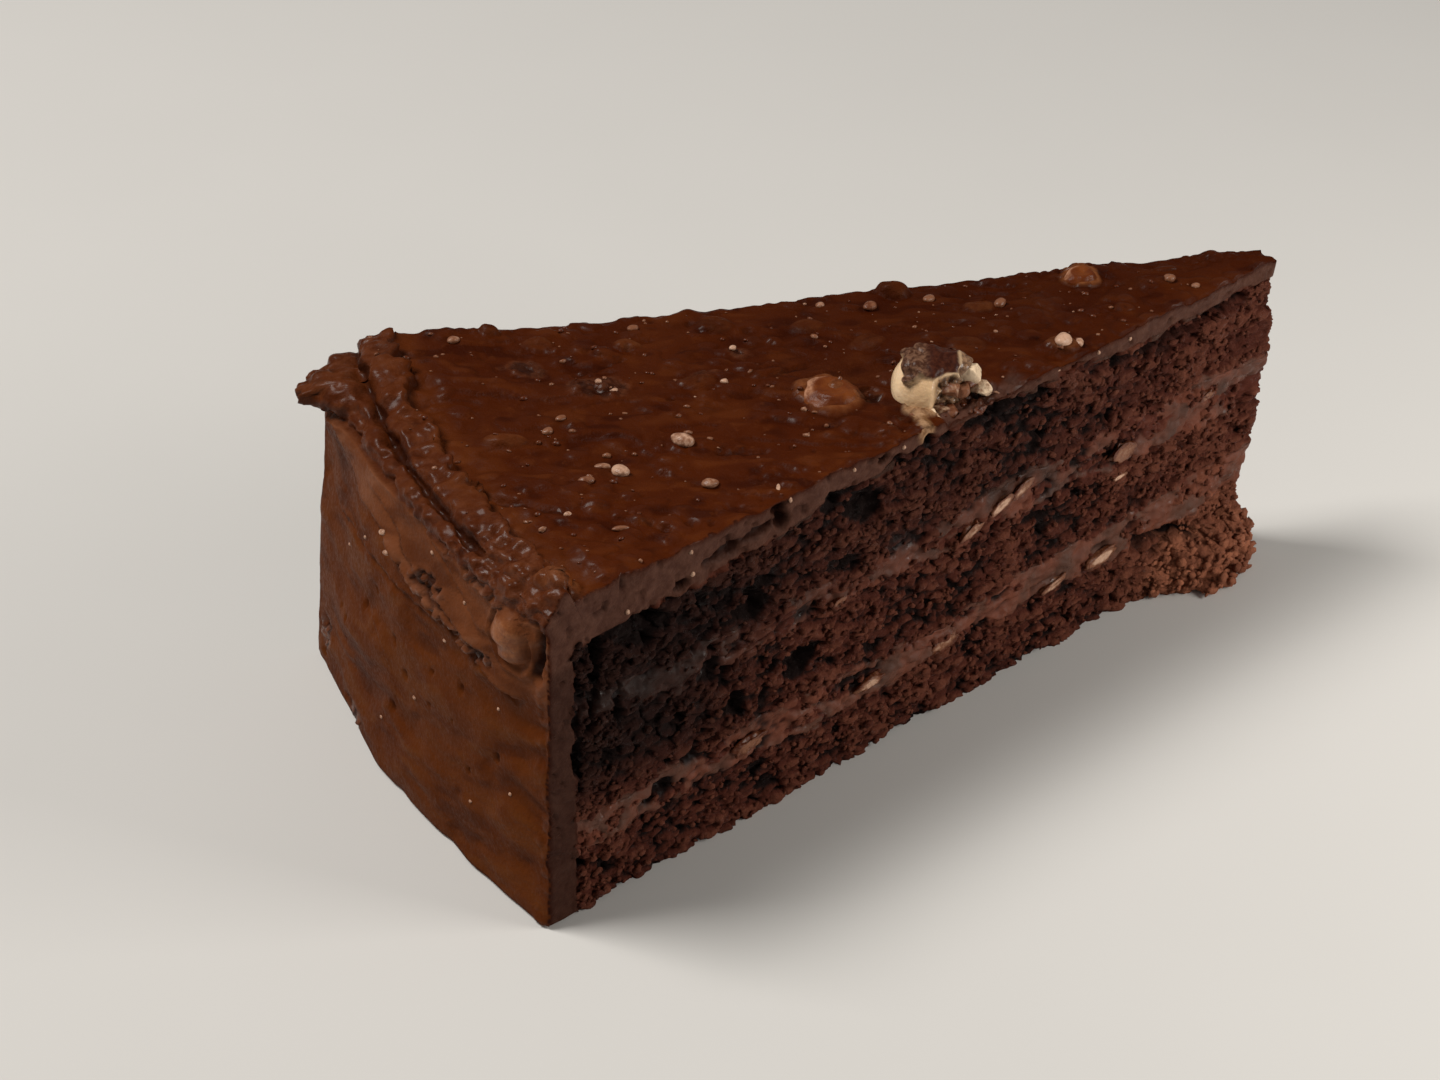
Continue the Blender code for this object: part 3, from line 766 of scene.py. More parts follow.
side_crumbs.data.materials.append(SPONGE_MATERIAL)
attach(side_crumbs, "root")


# Icing coat: one soft chocolate icing over the top and down the outer wall, spread with a palette
# knife and set. A ragged ridge with a crease outside it runs round the rim, and a spur of it sticks
# out at the far top corner. Chopped nuts under it show as bumps.

ICING_TOP = 0.0583
WALL_FOOT = 0.0006
CREASE_RADIUS = 0.1597
ACROSS_STEPS = 190
WALL_ROWS = 124
BAND_ROWS = 15  # through the icing's thickness on a cut side
SLICE_WIDTH = 0.075
BROAD_LIFT = 0.00030
LUMP_LIFT = 0.00030
STEP_LIFT = 0.00042
FINE_LIFT = 0.00006
GRIT_LIFT = 0.00036
KNOB_LIFT = 0.00056
CREASE_DEPTH = 0.00055
SWEEP_LIFT = 0.00075
PATCH_DEPTH = 0.0009
PIT_HOLE_DEPTH = 0.0005
CORNER_GAP_DEPTH = 0.0011
WALL_NUT_LIFT = 0.0021
SPUR_ANGLES = (math.radians(7.6), math.radians(12.9))

# Nuts under the icing: radius, angle in degrees, half length, half width, height, how much nut shows
BUMPS = (
    (0.0960, -4.1, 0.0054, 0.0050, 0.0010, 0.7),
    (0.0426, 9.2, 0.0034, 0.0029, 0.0009, 0.7),
    (0.1556, -12.1, 0.0034, 0.0028, 0.0014, 0.5),
    (0.0571, -10.0, 0.0030, 0.0022, 0.0012, 0.4),
    (0.1450, 1.1, 0.0036, 0.0016, 0.0010, 0.2),
    (0.0906, -5.8, 0.0021, 0.0024, -0.0012, 0.0),
    (0.0738, 12.0, 0.0027, 0.0020, 0.0019, 0.1),
    (0.1392, 12.7, 0.0015, 0.0013, 0.0014, 0.1),
    (0.1188, 9.5, 0.0024, 0.0018, 0.0009, 0.2),
    (0.1124, 2.6, 0.0030, 0.0020, 0.0007, 0.1),
    (0.0830, 3.0, 0.0028, 0.0020, 0.0007, 0.1),
    (0.1010, -1.0, 0.0040, 0.0024, 0.0007, 0.0),
    (0.1290, -1.5, 0.0034, 0.0022, 0.0006, 0.0),
    (0.0700, -3.0, 0.0030, 0.0022, 0.0007, 0.1),
    (0.0620, 5.0, 0.0026, 0.0020, 0.0008, 0.2),
    (0.0900, 8.0, 0.0028, 0.0018, 0.0008, 0.1),
    (0.1040, 10.6, 0.0030, 0.0018, 0.0008, 0.1),
    (0.1320, 11.0, 0.0026, 0.0018, 0.0007, 0.1),
)
# The nut's oily smear towards the cut edge: radius, angle in degrees, size
SMEAR = (
    (0.0874, -10.0, 0.0017),
    (0.0880, -11.4, 0.0017),
    (0.0888, -12.6, 0.0015),
    (0.0860, -11.4, 0.0013),
)
STROKE_TURN = math.radians(-27)  # the knife's strokes over the top run this way
STROKE_AXES = np.array([
    [math.cos(STROKE_TURN), -math.sin(STROKE_TURN)],
    [math.sin(STROKE_TURN), math.cos(STROKE_TURN)],
])
# Folds left by the knife on the wall: places as distance from the front cut and height, and their step
FOLDS = (
    (((0.0800, 0.0560), (0.0640, 0.0530), (0.0510, 0.0475),
      (0.0325, 0.0430), (0.0210, 0.0412), (0.0070, 0.0395)), 0.0016),
    (((0.0700, 0.0370), (0.0500, 0.0385), (0.0380, 0.0395), (0.0270, 0.0400)), 0.0008),
    (((0.0480, 0.0520), (0.0360, 0.0480), (0.0220, 0.0448), (0.0130, 0.0430)), 0.0009),
    (((0.0330, 0.0560), (0.0220, 0.0515), (0.0140, 0.0470)), 0.0008),
    (((0.0560, 0.0300), (0.0440, 0.0240), (0.0380, 0.0130)), 0.0004),
)
# Torn, glinting patches on the wall and the top's dark ones: place, half sizes. On the wall a place is
# the distance from the front cut and the height, on the top it is the radius and the angle in degrees.
WALL_PATCHES = (
    (0.0308, 0.0462, 0.0066, 0.0024),
    (0.0215, 0.0418, 0.0060, 0.0018),
    (0.0140, 0.0430, 0.0036, 0.0010),
    (0.0135, 0.0555, 0.0075, 0.0024),
    (0.0232, 0.0560, 0.0024, 0.0016),
    (0.0745, 0.0055, 0.0028, 0.0042),
    (0.0605, 0.0020, 0.0042, 0.0018),
)
TOP_PATCHES = (
    (0.1268, 4.5, 0.0062, 0.0030),
    (0.1035, 5.9, 0.0024, 0.0018),
    (0.1110, 3.7, 0.0026, 0.0016),
    (0.0908, -5.7, 0.0024, 0.0026),
    (0.1345, 8.0, 0.0040, 0.0020),
    (0.0790, -11.3, 0.0066, 0.0019),
)
# Creases that the knife left on the top, through places given as radius and angle in degrees
TOP_CREASES = (
    ((0.1545, -2.2), (0.1510, -4.2), (0.1455, -6.9)),
    ((0.1368, -9.9), (0.1356, -11.5)),
    ((0.1180, -6.2), (0.1120, -7.6)),
    ((0.1010, 0.8), (0.0940, 1.9)),
    ((0.1290, 6.6), (0.1210, 7.6)),
)
# Distance from the front cut, height, radius
WALL_PITS = (
    (0.0373, 0.0241, 0.0007), (0.0408, 0.0283, 0.0006), (0.0209, 0.0320, 0.0007), (0.0428, 0.0146, 0.0007),
    (0.0536, 0.0265, 0.0006), (0.0409, 0.0169, 0.0005), (0.0290, 0.0300, 0.0005), (0.0120, 0.0250, 0.0005),
    (0.0190, 0.0180, 0.0005), (0.0480, 0.0330, 0.0005), (0.0230, 0.0250, 0.0004), (0.0600, 0.0200, 0.0006),
)
WALL_NUT = (0.0074, 0.0500, 0.0036, 0.0046)  # under the icing by the front cut: place, half sizes


def at_degrees(radius, degrees):
    return plan_point(radius, math.radians(degrees))


def oval_distance(offset, length, width):
    """How far out of an oval's middle a place is: 1 on its edge."""
    return np.hypot(offset[..., 0] / length, offset[..., 1] / width)


def top_height(radius, across):
    """The top is level, and rises a little towards the spur."""
    return ICING_TOP + 0.0020 * ramp(radius, 0.128, 0.154) * ramp(across, 0.6, 1.0)


def wall_radius(across, z):
    """The outer side of the icing, which leans out towards the floor and most at the far cut."""
    corner = NEAR_RADIUS + (FAR_RADIUS - NEAR_RADIUS) * across
    return corner + (0.0015 + 0.0047 * across) * np.clip(1 - z / ICING_TOP, 0, 1) ** 0.75


def flaky_edge(across):
    """The radius of the ridge's inner edge, which wanders and is broken off in flakes."""
    place = np.stack([across, 0 * across + 0.3, 0 * across + 0.5], -1)
    flakes = waves(place, ((0.0016, (0.075, 1, 1), 41), (0.0024, (0.034, 1, 1), 42)))
    return CREASE_RADIUS - 0.0052 + flakes + 0.0008 * soft_noise(place, (0.016, 1, 1), 43)


def rim_line(across, count):
    """The rim's section at this place across, as radius and height: over the ridge, down into the
    crease, and up on to the rounded lip."""
    corner = NEAR_RADIUS + (FAR_RADIUS - NEAR_RADIUS) * across
    angle = HALF_ANGLE * (2 * across - 1)

    def wave(size, seed):
        return float(soft_noise(np.array([across, 0.3, 0.5]), (size, 1, 1), seed))

    inner_edge = float(flaky_edge(np.array(across)))
    fall = ramp(across, 0.84, 1.0)  # towards the far cut the rim droops
    lifted = 0.0020 + 0.0006 * wave(0.045, 44) + 0.0005 * wave(0.018, 45) - 0.0014 * fall
    open_share = ramp(across, 0.08, 0.30)  # the crease closes up towards the front cut
    top = top_height(0.155, across)
    crease = CREASE_RADIUS + 0.0005 * wave(0.070, 46) + 0.0002 * wave(0.020, 51)
    bottom = top - 0.0003 - 0.0009 * open_share - 0.0018 * fall
    knots = [
        (RIM_START, top_height(RIM_START, across)),
        (inner_edge - 0.0010, top - 0.0003),
        (inner_edge - 0.0001, top - 0.0002),
        (inner_edge, top + 0.7 * lifted),
        (inner_edge + 0.0005, top + lifted),
        (inner_edge + 0.0016, top + 0.8 * lifted - 0.0004 * fall),
        (crease - 0.0009, top + 0.6 * lifted - 0.0010 * fall),
        (crease - 0.0003, top + 0.1 * lifted - 0.0014 * fall),
        (crease - 0.0001, bottom),
        (crease + 0.0001, bottom),
    ]
    reach = 0.0
    first, last = SPUR_ANGLES
    if first < angle < last:
        reach = math.sin(math.pi * ((angle - first) / (last - first)) ** 1.3) ** 1.2
        reach *= 0.90 + 0.16 * wave(0.022, 47) + 0.26 * wave(0.011, 48)
    lip = max(crease + 0.0004, corner - 0.0016)
    edge = max(crease + 0.0009, corner + 0.0004)
    knots += [
        (lip, top - 0.0006 + 0.0003 * wave(0.05, 49) - 0.0021 * fall),
        (lip + 0.0006 + 0.0038 * reach, top - 0.0007 - 0.0021 * fall + 0.0003 * reach),
        (edge + 0.0078 * reach, ICING_TOP - 0.0013 + (0.0002 + 0.0007 * wave(0.018, 52)) * reach),
        (edge + 0.0003 + 0.0072 * reach, ICING_TOP - 0.0022 - (0.0004 - 0.0008 * wave(0.014, 53)) * reach),
        (edge + 0.0003 + 0.0026 * reach, ICING_TOP - 0.0034 - 0.0008 * reach),
    ]
    knots = np.array(knots)
    length = np.concatenate([[0], np.cumsum(np.hypot(*np.diff(knots, axis=0).T))])
    spots = np.linspace(0, length[-1], count)
    line = np.stack([np.interp(spots, length, knots[:, 0]), np.interp(spots, length, knots[:, 1])], -1)
    line[1:-1] = (line[:-2] + 2 * line[1:-1] + line[2:]) / 4
    return line


def smooth_icing():
    """The icing's outer surface before the knife's marks, as a grid of points from the tip over the
    rim to the foot of the wall, with each point's radius and place across."""
    acrosses = np.linspace(0, 1, ACROSS_STEPS)
    inner_count = int(np.sum(ALONG <= share_inner + 1e-9))
    rim_count = len(ALONG) - inner_count + 1
    sheet = np.zeros((len(ALONG) + WALL_ROWS, ACROSS_STEPS, 3))
    radii = np.zeros(sheet.shape[:2])
    for column, across in enumerate(acrosses):
        angle = HALF_ANGLE * (2 * across - 1)
        rim = rim_line(across, rim_count)
        flat_radius = TIP_RADIUS + (RIM_START - TIP_RADIUS) * ALONG[:inner_count] / share_inner
        flat_z = top_height(flat_radius, across)
        bottom_z = rim[-1, 1]
        down = np.linspace(0, 1, WALL_ROWS + 1)[1:]
        wall_z = bottom_z + (WALL_FOOT - bottom_z) * down
        # Under the spur the wall comes back in quickly
        overhang = rim[-1, 0] - wall_radius(across, bottom_z)
        wall_r = wall_radius(across, wall_z) + overhang * np.exp(-(bottom_z - wall_z) / 0.0022)
        radius = np.concatenate([flat_radius, rim[1:, 0], wall_r])
        z = np.concatenate([flat_z, rim[1:, 1], wall_z])
        sheet[:, column, :2] = plan_point(radius, angle)
        sheet[:, column, 2] = z
        radii[:, column] = radius
    return sheet, radii, acrosses


def outward(sheet):
    """The direction out of a grid of points, at each of them."""
    along = np.gradient(sheet, axis=0)
    over = np.gradient(sheet, axis=1)
    normal = np.cross(over, along)
    return normal / np.maximum(np.linalg.norm(normal, axis=-1, keepdims=True), 1e-12)


def knife_marks(sheet, radii, acrosses):
    """How far the knife's strokes, folds, bumps and pits lift the icing, with marks for its colour."""
    top = ramp(radii, 0.1520, 0.1490)
    rows = np.arange(sheet.shape[0])[:, None] + 0 * radii
    wall = np.where(rows >= len(ALONG), 1.0, 0.0)
    rim = np.clip(1 - top - wall, 0, 1)
    turned_x = sheet[..., 0] * math.cos(STROKE_TURN) + sheet[..., 1] * math.sin(STROKE_TURN)
    turned_y = -sheet[..., 0] * math.sin(STROKE_TURN) + sheet[..., 1] * math.cos(STROKE_TURN)
    place = np.stack([turned_x, turned_y, sheet[..., 2]], -1)
    broad = soft_noise(place, (0.017, 0.007, 0.02), 61)
    lump = soft_noise(place, (0.0068, 0.0048, 0.01), 67)
    ledge = waves(place, ((1.0, (0.0125, 0.0050, 0.01), 62), (0.30, (0.0032, 0.0016, 0.003), 63)))
    steps = ledge * 1.7
    up_step = steps - np.floor(steps)
    stair = np.floor(steps) + ramp(up_step, 0.62, 1.0)
    fine = soft_noise(place, (0.0030, 0.0012, 0.001), 64)
    grit, _, grit_number = clumps(place, (0.0015, 0.0013, 0.0012), 65)
    grit_share = ramp(soft_noise(place, (0.0070, 0.0050, 0.005), 66), 0.10, 0.6)
    grit_share = grit_share * ramp(grit_number, 0.45, 0.55)
    lift = top * (BROAD_LIFT * broad + LUMP_LIFT * lump + STEP_LIFT * (stair + 0.5) + FINE_LIFT * fine)
    lift += top * grit_share * GRIT_LIFT * grit
    # This mark gathers painted shade: step edges, low sides of lumps, creases, fold lines, notches, pits,
    # torn holes and the ground beside bumps
    painted_shade = top * ramp(up_step, 0.58, 0.80) * ramp(up_step, 1.0, 0.80) * 0.40
    painted_shade = np.maximum(painted_shade, top * 0.25 * ramp(lump, -0.25, -0.75))
    swirl = bend(place, 0.0014, (0.006,) * 3, 34)
    streak = waves(swirl, ((1.0, (0.0060, 0.0026, 0.01), 68), (0.9, (0.0026, 0.0013, 0.003), 69)))
    lift += (1 - wall) * (0.00013 * streak + 0.00012 * soft_noise(swirl, (0.0020, 0.0015, 0.002), 48))
    knob, _, knob_number = clumps(place, (0.0036, 0.0026, 0.0040), 54)
    knob = knob * ramp(knob_number, 0.58, 0.66)
    knob = knob * ramp(soft_noise(place, (0.02, 0.015, 0.01), 55), -0.5, 0.3)
    lift += top * KNOB_LIFT * knob
    for points in TOP_CREASES:
        points = [at_degrees(radius, degrees) for radius, degrees in points]
        away = line_distance(sheet[..., 0], sheet[..., 1], points) + 0.0004 * fine
        lift -= CREASE_DEPTH * ramp(away, 0.0011, 0.0001)
        painted_shade = np.maximum(painted_shade, 0.6 * ramp(away, 0.0006, 0.0001))

    # The wall: long sweeps, the folds and the torn patches
    along_wall = (HALF_ANGLE * 2 * acrosses)[None, :] * radii
    z = sheet[..., 2]
    wall_place = np.stack([along_wall, z], -1)
    sweep = np.stack([along_wall - 0.6 * z, z + 0.3 * along_wall, 0 * z], -1)
    lift += wall * SWEEP_LIFT * soft_noise(sweep, (0.022, 0.009, 1), 71)
    sweep = sweep + 0.0022 * soft_noise(place, (0.0075,) * 3, 73)[..., None]
    swept = soft_noise(sweep, (0.0095, 0.0038, 1), 72)
    lift += wall * (0.00042 * swept + 0.00024 * soft_noise(sweep, (0.0042, 0.0022, 1), 47))
    streak = np.where(wall > 0.5, swept + 0.8 * soft_noise(sweep, (0.0050, 0.0013, 1), 46), streak)
    lift += rim * (0.00055 * soft_noise(place, (0.0034, 0.0026, 0.003), 56))
    lift += rim * (0.00030 * soft_noise(place, (0.0013, 0.0011, 0.0012), 57))
    jitter = waves(place, ((0.0006, (0.0042,) * 3, 74), (0.0004, (0.0014,) * 3, 75)))
    for points, step in FOLDS:
        xs = [point[0] for point in points][::-1]
        zs = [point[1] for point in points][::-1]
        fold_z = np.interp(along_wall, xs, zs)
        within = ramp(along_wall, xs[0] - 0.003, xs[0] + 0.003)
        within = within * ramp(along_wall, xs[-1] + 0.003, xs[-1] - 0.004)
        over = z - fold_z + jitter
        run_out = np.exp(-np.clip(over, 0, 1) / (4 * step))
        lift += wall * within * step * ramp(over, -0.0002, 0.0005) * run_out
        lift -= wall * within * 0.4 * step * ramp(np.abs(over + 0.0006), 0.0012, 0.0002)
        crease_shade = ramp(np.abs(over + 0.0005), 0.0009, 0.0002) * min(1.0, step / 0.0008)
        broken = ramp(soft_noise(place, (0.006, 0.006, 0.004), 49), -0.3, 0.4)
        crease_shade = crease_shade * (0.35 + 0.45 * broken)
        painted_shade = np.maximum(painted_shade, wall * within * crease_shade)
    # Painted sheen and shade: upper marks the wall above the main fold, which the material paints lighter
    # and pinker than below it
    main_fold = np.array(FOLDS[0][0])[::-1]
    upper = z - np.interp(along_wall, main_fold[:, 0], main_fold[:, 1]) + 2 * jitter
    upper = np.clip(wall * ramp(upper, -0.0005, 0.0015) + 0.15 * rim, 0, 1)
    beads, _, bead_number = clumps(place, (0.0016, 0.0014, 0.0016), 58)
    beads = wall * beads * ramp(bead_number, 0.45, 0.50) * ramp(along_wall, 0.0034, 0.0016)
    lift += 0.00035 * beads
    rough = np.zeros(z.shape)
    for spot, height, length, tall in WALL_PATCHES:
        away = oval_distance(wall_place - (spot, height), length, tall)
        rough = np.maximum(rough, (1 - top) * ramp(away + 900 * jitter, 1.15, 0.6))
    for radius, degrees, length, width in TOP_PATCHES:
        away = oval_distance((sheet[..., :2] - at_degrees(radius, degrees)) @ STROKE_AXES, length, width)
        rough = np.maximum(rough, top * ramp(away + 900 * jitter, 1.15, 0.5))
    rim_patch = ramp(soft_noise(place, (0.0050, 0.0040, 0.004), 79), 0.0, 0.5)
    rim_patch = np.maximum(0.4 + 0.4 * rim_patch, ramp(along_wall, 0.030, 0.014))
    rough = np.maximum(rough, rim * ramp(radii, 0.1535, 0.1550) * rim_patch * 0.8)
    crease_line = ramp(np.abs(radii - CREASE_RADIUS), 0.0007, 0.0002) * ramp(acrosses, 0.10, 0.28)
    painted_shade = np.maximum(painted_shade, 0.7 * rim * crease_line)
    from_edge = radii - flaky_edge(acrosses)[None, :]
    notches = ramp(soft_noise(place, (0.0046, 0.0046, 0.004), 59), -0.35, 0.25)
    edge_shade = 0.5 * ramp(from_edge, -0.0028, -0.0006) * ramp(from_edge, 0.0003, -0.0001) * notches
    painted_shade = np.maximum(painted_shade, edge_shade)
    spur = rim * ramp(radii, 0.1625, 0.1645) * ramp(acrosses, 0.75, 0.80)
    lift += spur * 0.0005 * soft_noise(place, (0.0020, 0.0018, 0.0018), 60)
    rough = np.maximum(rough, 0.45 * spur)
    painted_shade = np.maximum(painted_shade, 0.5 * spur * ramp(soft_noise(place, (0.0016, 0.0016, 0.0016), 80), -0.1, 0.4))
    torn, _, _ = clumps(place, (0.0022, 0.0016, 0.0014), 76)
    tiny = clumps(place, (0.0008, 0.0008, 0.0007), 77)[0]
    ridges = 1 - np.abs(soft_noise(place, (0.0030, 0.0022, 0.0022), 50))
    lift += rough * (0.00045 * (torn - 0.55) + 0.00095 * (ridges - 0.6) + 0.00018 * (tiny - 0.5))
    lift -= PATCH_DEPTH * wall * rough * ramp(torn, 0.50, 0.10) * ramp(along_wall, 0.056, 0.050)
    painted_shade = np.maximum(painted_shade, (0.8 - 0.5 * rim) * rough * ramp(torn, 0.40, 0.10))
    painted_shade = np.maximum(painted_shade, 0.55 * top * rough)
    corner_gap = wall * ramp(np.abs(along_wall - 0.0016 + jitter), 0.0011, 0.0004) * ramp(z, 0.0445, 0.0465)
    lift -= CORNER_GAP_DEPTH * corner_gap
    painted_shade = np.maximum(painted_shade, corner_gap)
    for spot, height, size in WALL_PITS:
        away = np.hypot(along_wall - spot, (z - height) * 0.7) + 0.5 * jitter
        hole = wall * ramp(away, size * 1.3, size * 0.4)
        lift -= PIT_HOLE_DEPTH * hole
        painted_shade = np.maximum(painted_shade, 0.6 * hole)
    pit, _, pit_number = clumps(place, (0.0046, 0.0046, 0.0046), 78)
    pit = ramp(pit + 60 * jitter, 0.960, 0.995) * ramp(pit_number, 0.60, 0.75) * (1 - rim)
    lift -= 0.0003 * pit
    painted_shade = np.maximum(painted_shade, 0.5 * pit)

    # The nuts under it
    nutty = np.zeros(z.shape)
    for radius, degrees, length, width, height, shown in BUMPS:
        offset = (sheet[..., :2] - at_degrees(radius, degrees)) @ STROKE_AXES
        away = oval_distance(offset, length, width) + 250 * jitter
        dome = np.sqrt(np.clip(1 - away * away, 0, 1)) * (1 - wall)
        lift += height * dome
        nutty = np.maximum(nutty, shown * ramp(away, 1.05, 0.75) * (1 - wall))
        # Painted shadow on the low side of each bump
        below = ramp(offset[..., 0] - offset[..., 1], -0.5 * width, 0.8 * width)
        below = (0.15 + 0.5 * shown) * below
        painted_shade = np.maximum(painted_shade, below * ramp(away, 0.92, 1.05) * ramp(away, 1.35, 1.08) * (1 - wall))
    from_cut, height, length, tall = WALL_NUT
    away = oval_distance(wall_place - (from_cut, height), length, tall) + 200 * jitter
    lift += wall * WALL_NUT_LIFT * np.sqrt(np.clip(1 - away * away, 0, 1))
    lift += wall * 0.0007 * ramp(np.abs(away - 1.25), 0.22, 0.0)
    nutty = np.maximum(nutty, wall * ramp(away, 1.05, 0.60))
    # Painted shadow round the wall nut's edge
    painted_shade = np.maximum(painted_shade, 0.30 * wall * ramp(np.abs(away - 1.02), 0.12, 0.0))
    smear = np.zeros(z.shape)
    for radius, degrees, size in SMEAR:
        away = np.linalg.norm(sheet[..., :2] - at_degrees(radius, degrees), axis=-1) / size + 300 * jitter
        smear = np.maximum(smear, ramp(away, 1.1, 0.6))
        lift += 0.0006 * np.sqrt(np.clip(1 - away * away, 0, 1))

    # The marks that aren't shapes
    marks = {"painted_shade": painted_shade, "rough": rough, "nutty": nutty, "smear": smear, "upper": upper}
    marks["wall"] = np.clip(wall + rim * 0.3, 0, 1)
    # Painted shade: the top gets darker towards the far cut and towards the tip
    marks["far"] = top * (0.5 * ramp(acrosses, 0.10, 0.60)[None, :] + 0.7 * ramp(radii, 0.115, 0.060))
    # The cut has torn the icing's edge beside the nut
    cut = top * ramp(along_wall + 2 * jitter, 0.0036, 0.0020) * ramp(radii + 2 * jitter, 0.0660, 0.0690)
    marks["cut"] = cut * ramp(radii + jitter, 0.0858, 0.0846)
    grains = top * grit_share * ramp(grit, 0.3, 0.7)
    knobs = 0.7 * top * ramp(knob, 0.2, 0.7)
    ridge = rim * ramp(radii, 0.1535, 0.1550)
    wet = np.maximum.reduce([rough, nutty, 0.6 * grains, knobs, 0.6 * ridge, beads])
    marks["wet"] = np.maximum(0.45 * wet, wall * np.maximum(0.8 * nutty, rough * ramp(torn, 0.20, 0.60)))
    marks["streak"] = np.clip(0.5 + 0.5 * streak, 0, 1)
    return lift, marks


icing_sheet, icing_radii, icing_across = smooth_icing()
icing_lift, icing_marks = knife_marks(icing_sheet, icing_radii, icing_across)
icing_out = outward(icing_sheet)
icing_out *= np.sign(np.sum(icing_out * np.array([-0.6, 0, 0.8]), -1, keepdims=True))
from_edge = np.minimum(icing_across, 1 - icing_across) * SLICE_WIDTH
icing_lift = icing_lift * (0.35 + 0.65 * ramp(from_edge, 0.0, 0.0006)[None, :])
# The cut has broken small flakes out of the top's edges, and more beside the nut
broken_edge = ramp(from_edge, 0.0026, 0.0002)[None, :] * ramp(icing_sheet[..., 2], 0.0560, 0.0575)
icing_lift += 0.00055 * broken_edge * soft_noise(icing_sheet, (0.0034, 0.0030, 0.003), 87)
icing_lift += 0.00030 * broken_edge * soft_noise(icing_sheet, (0.0013, 0.0013, 0.003), 88)
torn_lumps = clumps(icing_sheet, (0.0019, 0.0016, 0.003), 89)[0]
icing_lift += icing_marks["cut"] * (0.0006 * torn_lumps - 0.0011)
icing_skin = icing_sheet + icing_out * icing_lift[..., None]

# The cut through it, from the foot of the wall over the top to the tip, and back along the far side.
# Each column is its place on the line round the cut sides, its inner end and its outer end.
columns = []
shares = np.linspace(0, 1, BAND_ROWS)
for side in (0, 1):
    across = float(side)
    corner_plan = plan_point(np.array(sponge_radius(across)), HALF_ANGLE * (2 * across - 1))
    corner_column = 0 if side == 0 else LAST_TIP + len(ALONG) - 1
    edge = 0 if side == 0 else ACROSS_STEPS - 1
    corner_z = float(icing_under(np.array(sponge_radius(across))))
    wall_z = corner_z + (WALL_FOOT - corner_z) * np.linspace(0, 1, WALL_ROWS + 1)[1:]
    wall_part = [
        (corner_column, corner_plan, wall_z[row], icing_skin[len(ALONG) + row, edge])
        for row in range(WALL_ROWS)
    ]
    along_index = np.arange(len(ALONG))[::-1] if side == 0 else np.arange(len(ALONG))
    ring_columns = np.arange(len(ALONG)) + (0 if side == 0 else LAST_TIP)
    top_part = [
        (column, ring_plan[column], float(icing_under(ring_radius[column])), icing_skin[index, edge])
        for column, index in zip(ring_columns, along_index)
    ]
    part = wall_part[::-1] + top_part if side == 0 else top_part + wall_part
    if side == 1:
        tip_index = np.interp(ring_across[FIRST_TIP:LAST_TIP], icing_across, np.arange(ACROSS_STEPS))
        for column, spot in zip(range(FIRST_TIP, LAST_TIP), tip_index):
            whole = int(spot)
            share = spot - whole
            skin_point = icing_skin[0, whole] * (1 - share) + icing_skin[0, whole + 1] * share
            columns.append((column, ring_plan[column], float(icing_under(ring_radius[column])), skin_point))
    columns += part

band_columns = np.array([at[0] for at in columns])
band_inner = np.array([[*at[1], at[2]] for at in columns])
band_outer = np.array([at[3] for at in columns])
# The relief of a cut side is what torn_surface adds to the plain line round it
band_plain = band_inner[None] + (band_outer - band_inner)[None] * shares[:, None, None]
band_z = band_plain[..., 2]
band_radius = np.hypot(band_plain[..., 0] - APEX[0], band_plain[..., 1] - APEX[1])
column_grid = np.broadcast_to(band_columns, band_z.shape)
torn, torn_marks = torn_surface(column_grid, band_z, band_radius)
relief = torn - np.concatenate([ring_plan[column_grid], band_z[..., None]], -1)
band_points = band_plain + relief
from_skin = (1 - shares)[:, None] * np.linalg.norm(band_outer - band_inner, axis=-1)[None]
band_points[-1, :, 2] -= 0.00028 * ramp(band_plain[-1, :, 2], 0.050, 0.054)  # the edge is a little rounded
# The skin meets the cut along the band's outermost line
front_count = WALL_ROWS + len(ALONG)
far_start = front_count + TIP_STEPS
icing_skin[::-1, 0] = band_points[-1, :front_count]
icing_skin[:, -1] = band_points[-1, far_start:]
tip_line = band_points[-1, front_count - 1:far_start + 1]
tip_places = np.concatenate([[0], ring_across[FIRST_TIP:LAST_TIP], [1]])
for axis in range(3):
    icing_skin[0, :, axis] = np.interp(icing_across, tip_places, tip_line[:, axis])
# Ease the rows next to an edge towards it, so that no fold forms there
for edge in (0, -1):
    shift = icing_skin[:, edge] - icing_sheet[:, edge]
    for step, share in ((1, 0.7), (2, 0.4), (3, 0.15)):
        target = edge + step if edge == 0 else edge - step
        icing_skin[:, target] += share * (shift - (icing_out * icing_lift[..., None])[:, target])
for step, share in ((1, 0.85), (2, 0.7), (3, 0.5), (4, 0.35), (5, 0.2)):
    icing_skin[step, :, :2] += share * (icing_skin[0, :, :2] - icing_sheet[0, :, :2])

skin_count = icing_skin.shape[0] * icing_skin.shape[1]
band_count = band_points.shape[0] * band_points.shape[1]
icing_points = np.concatenate([icing_skin.reshape(-1, 3), band_points.reshape(-1, 3)])
icing_faces = grid_faces(icing_skin.shape[0], ACROSS_STEPS)
icing_faces += grid_faces(BAND_ROWS, band_points.shape[1], start=skin_count)
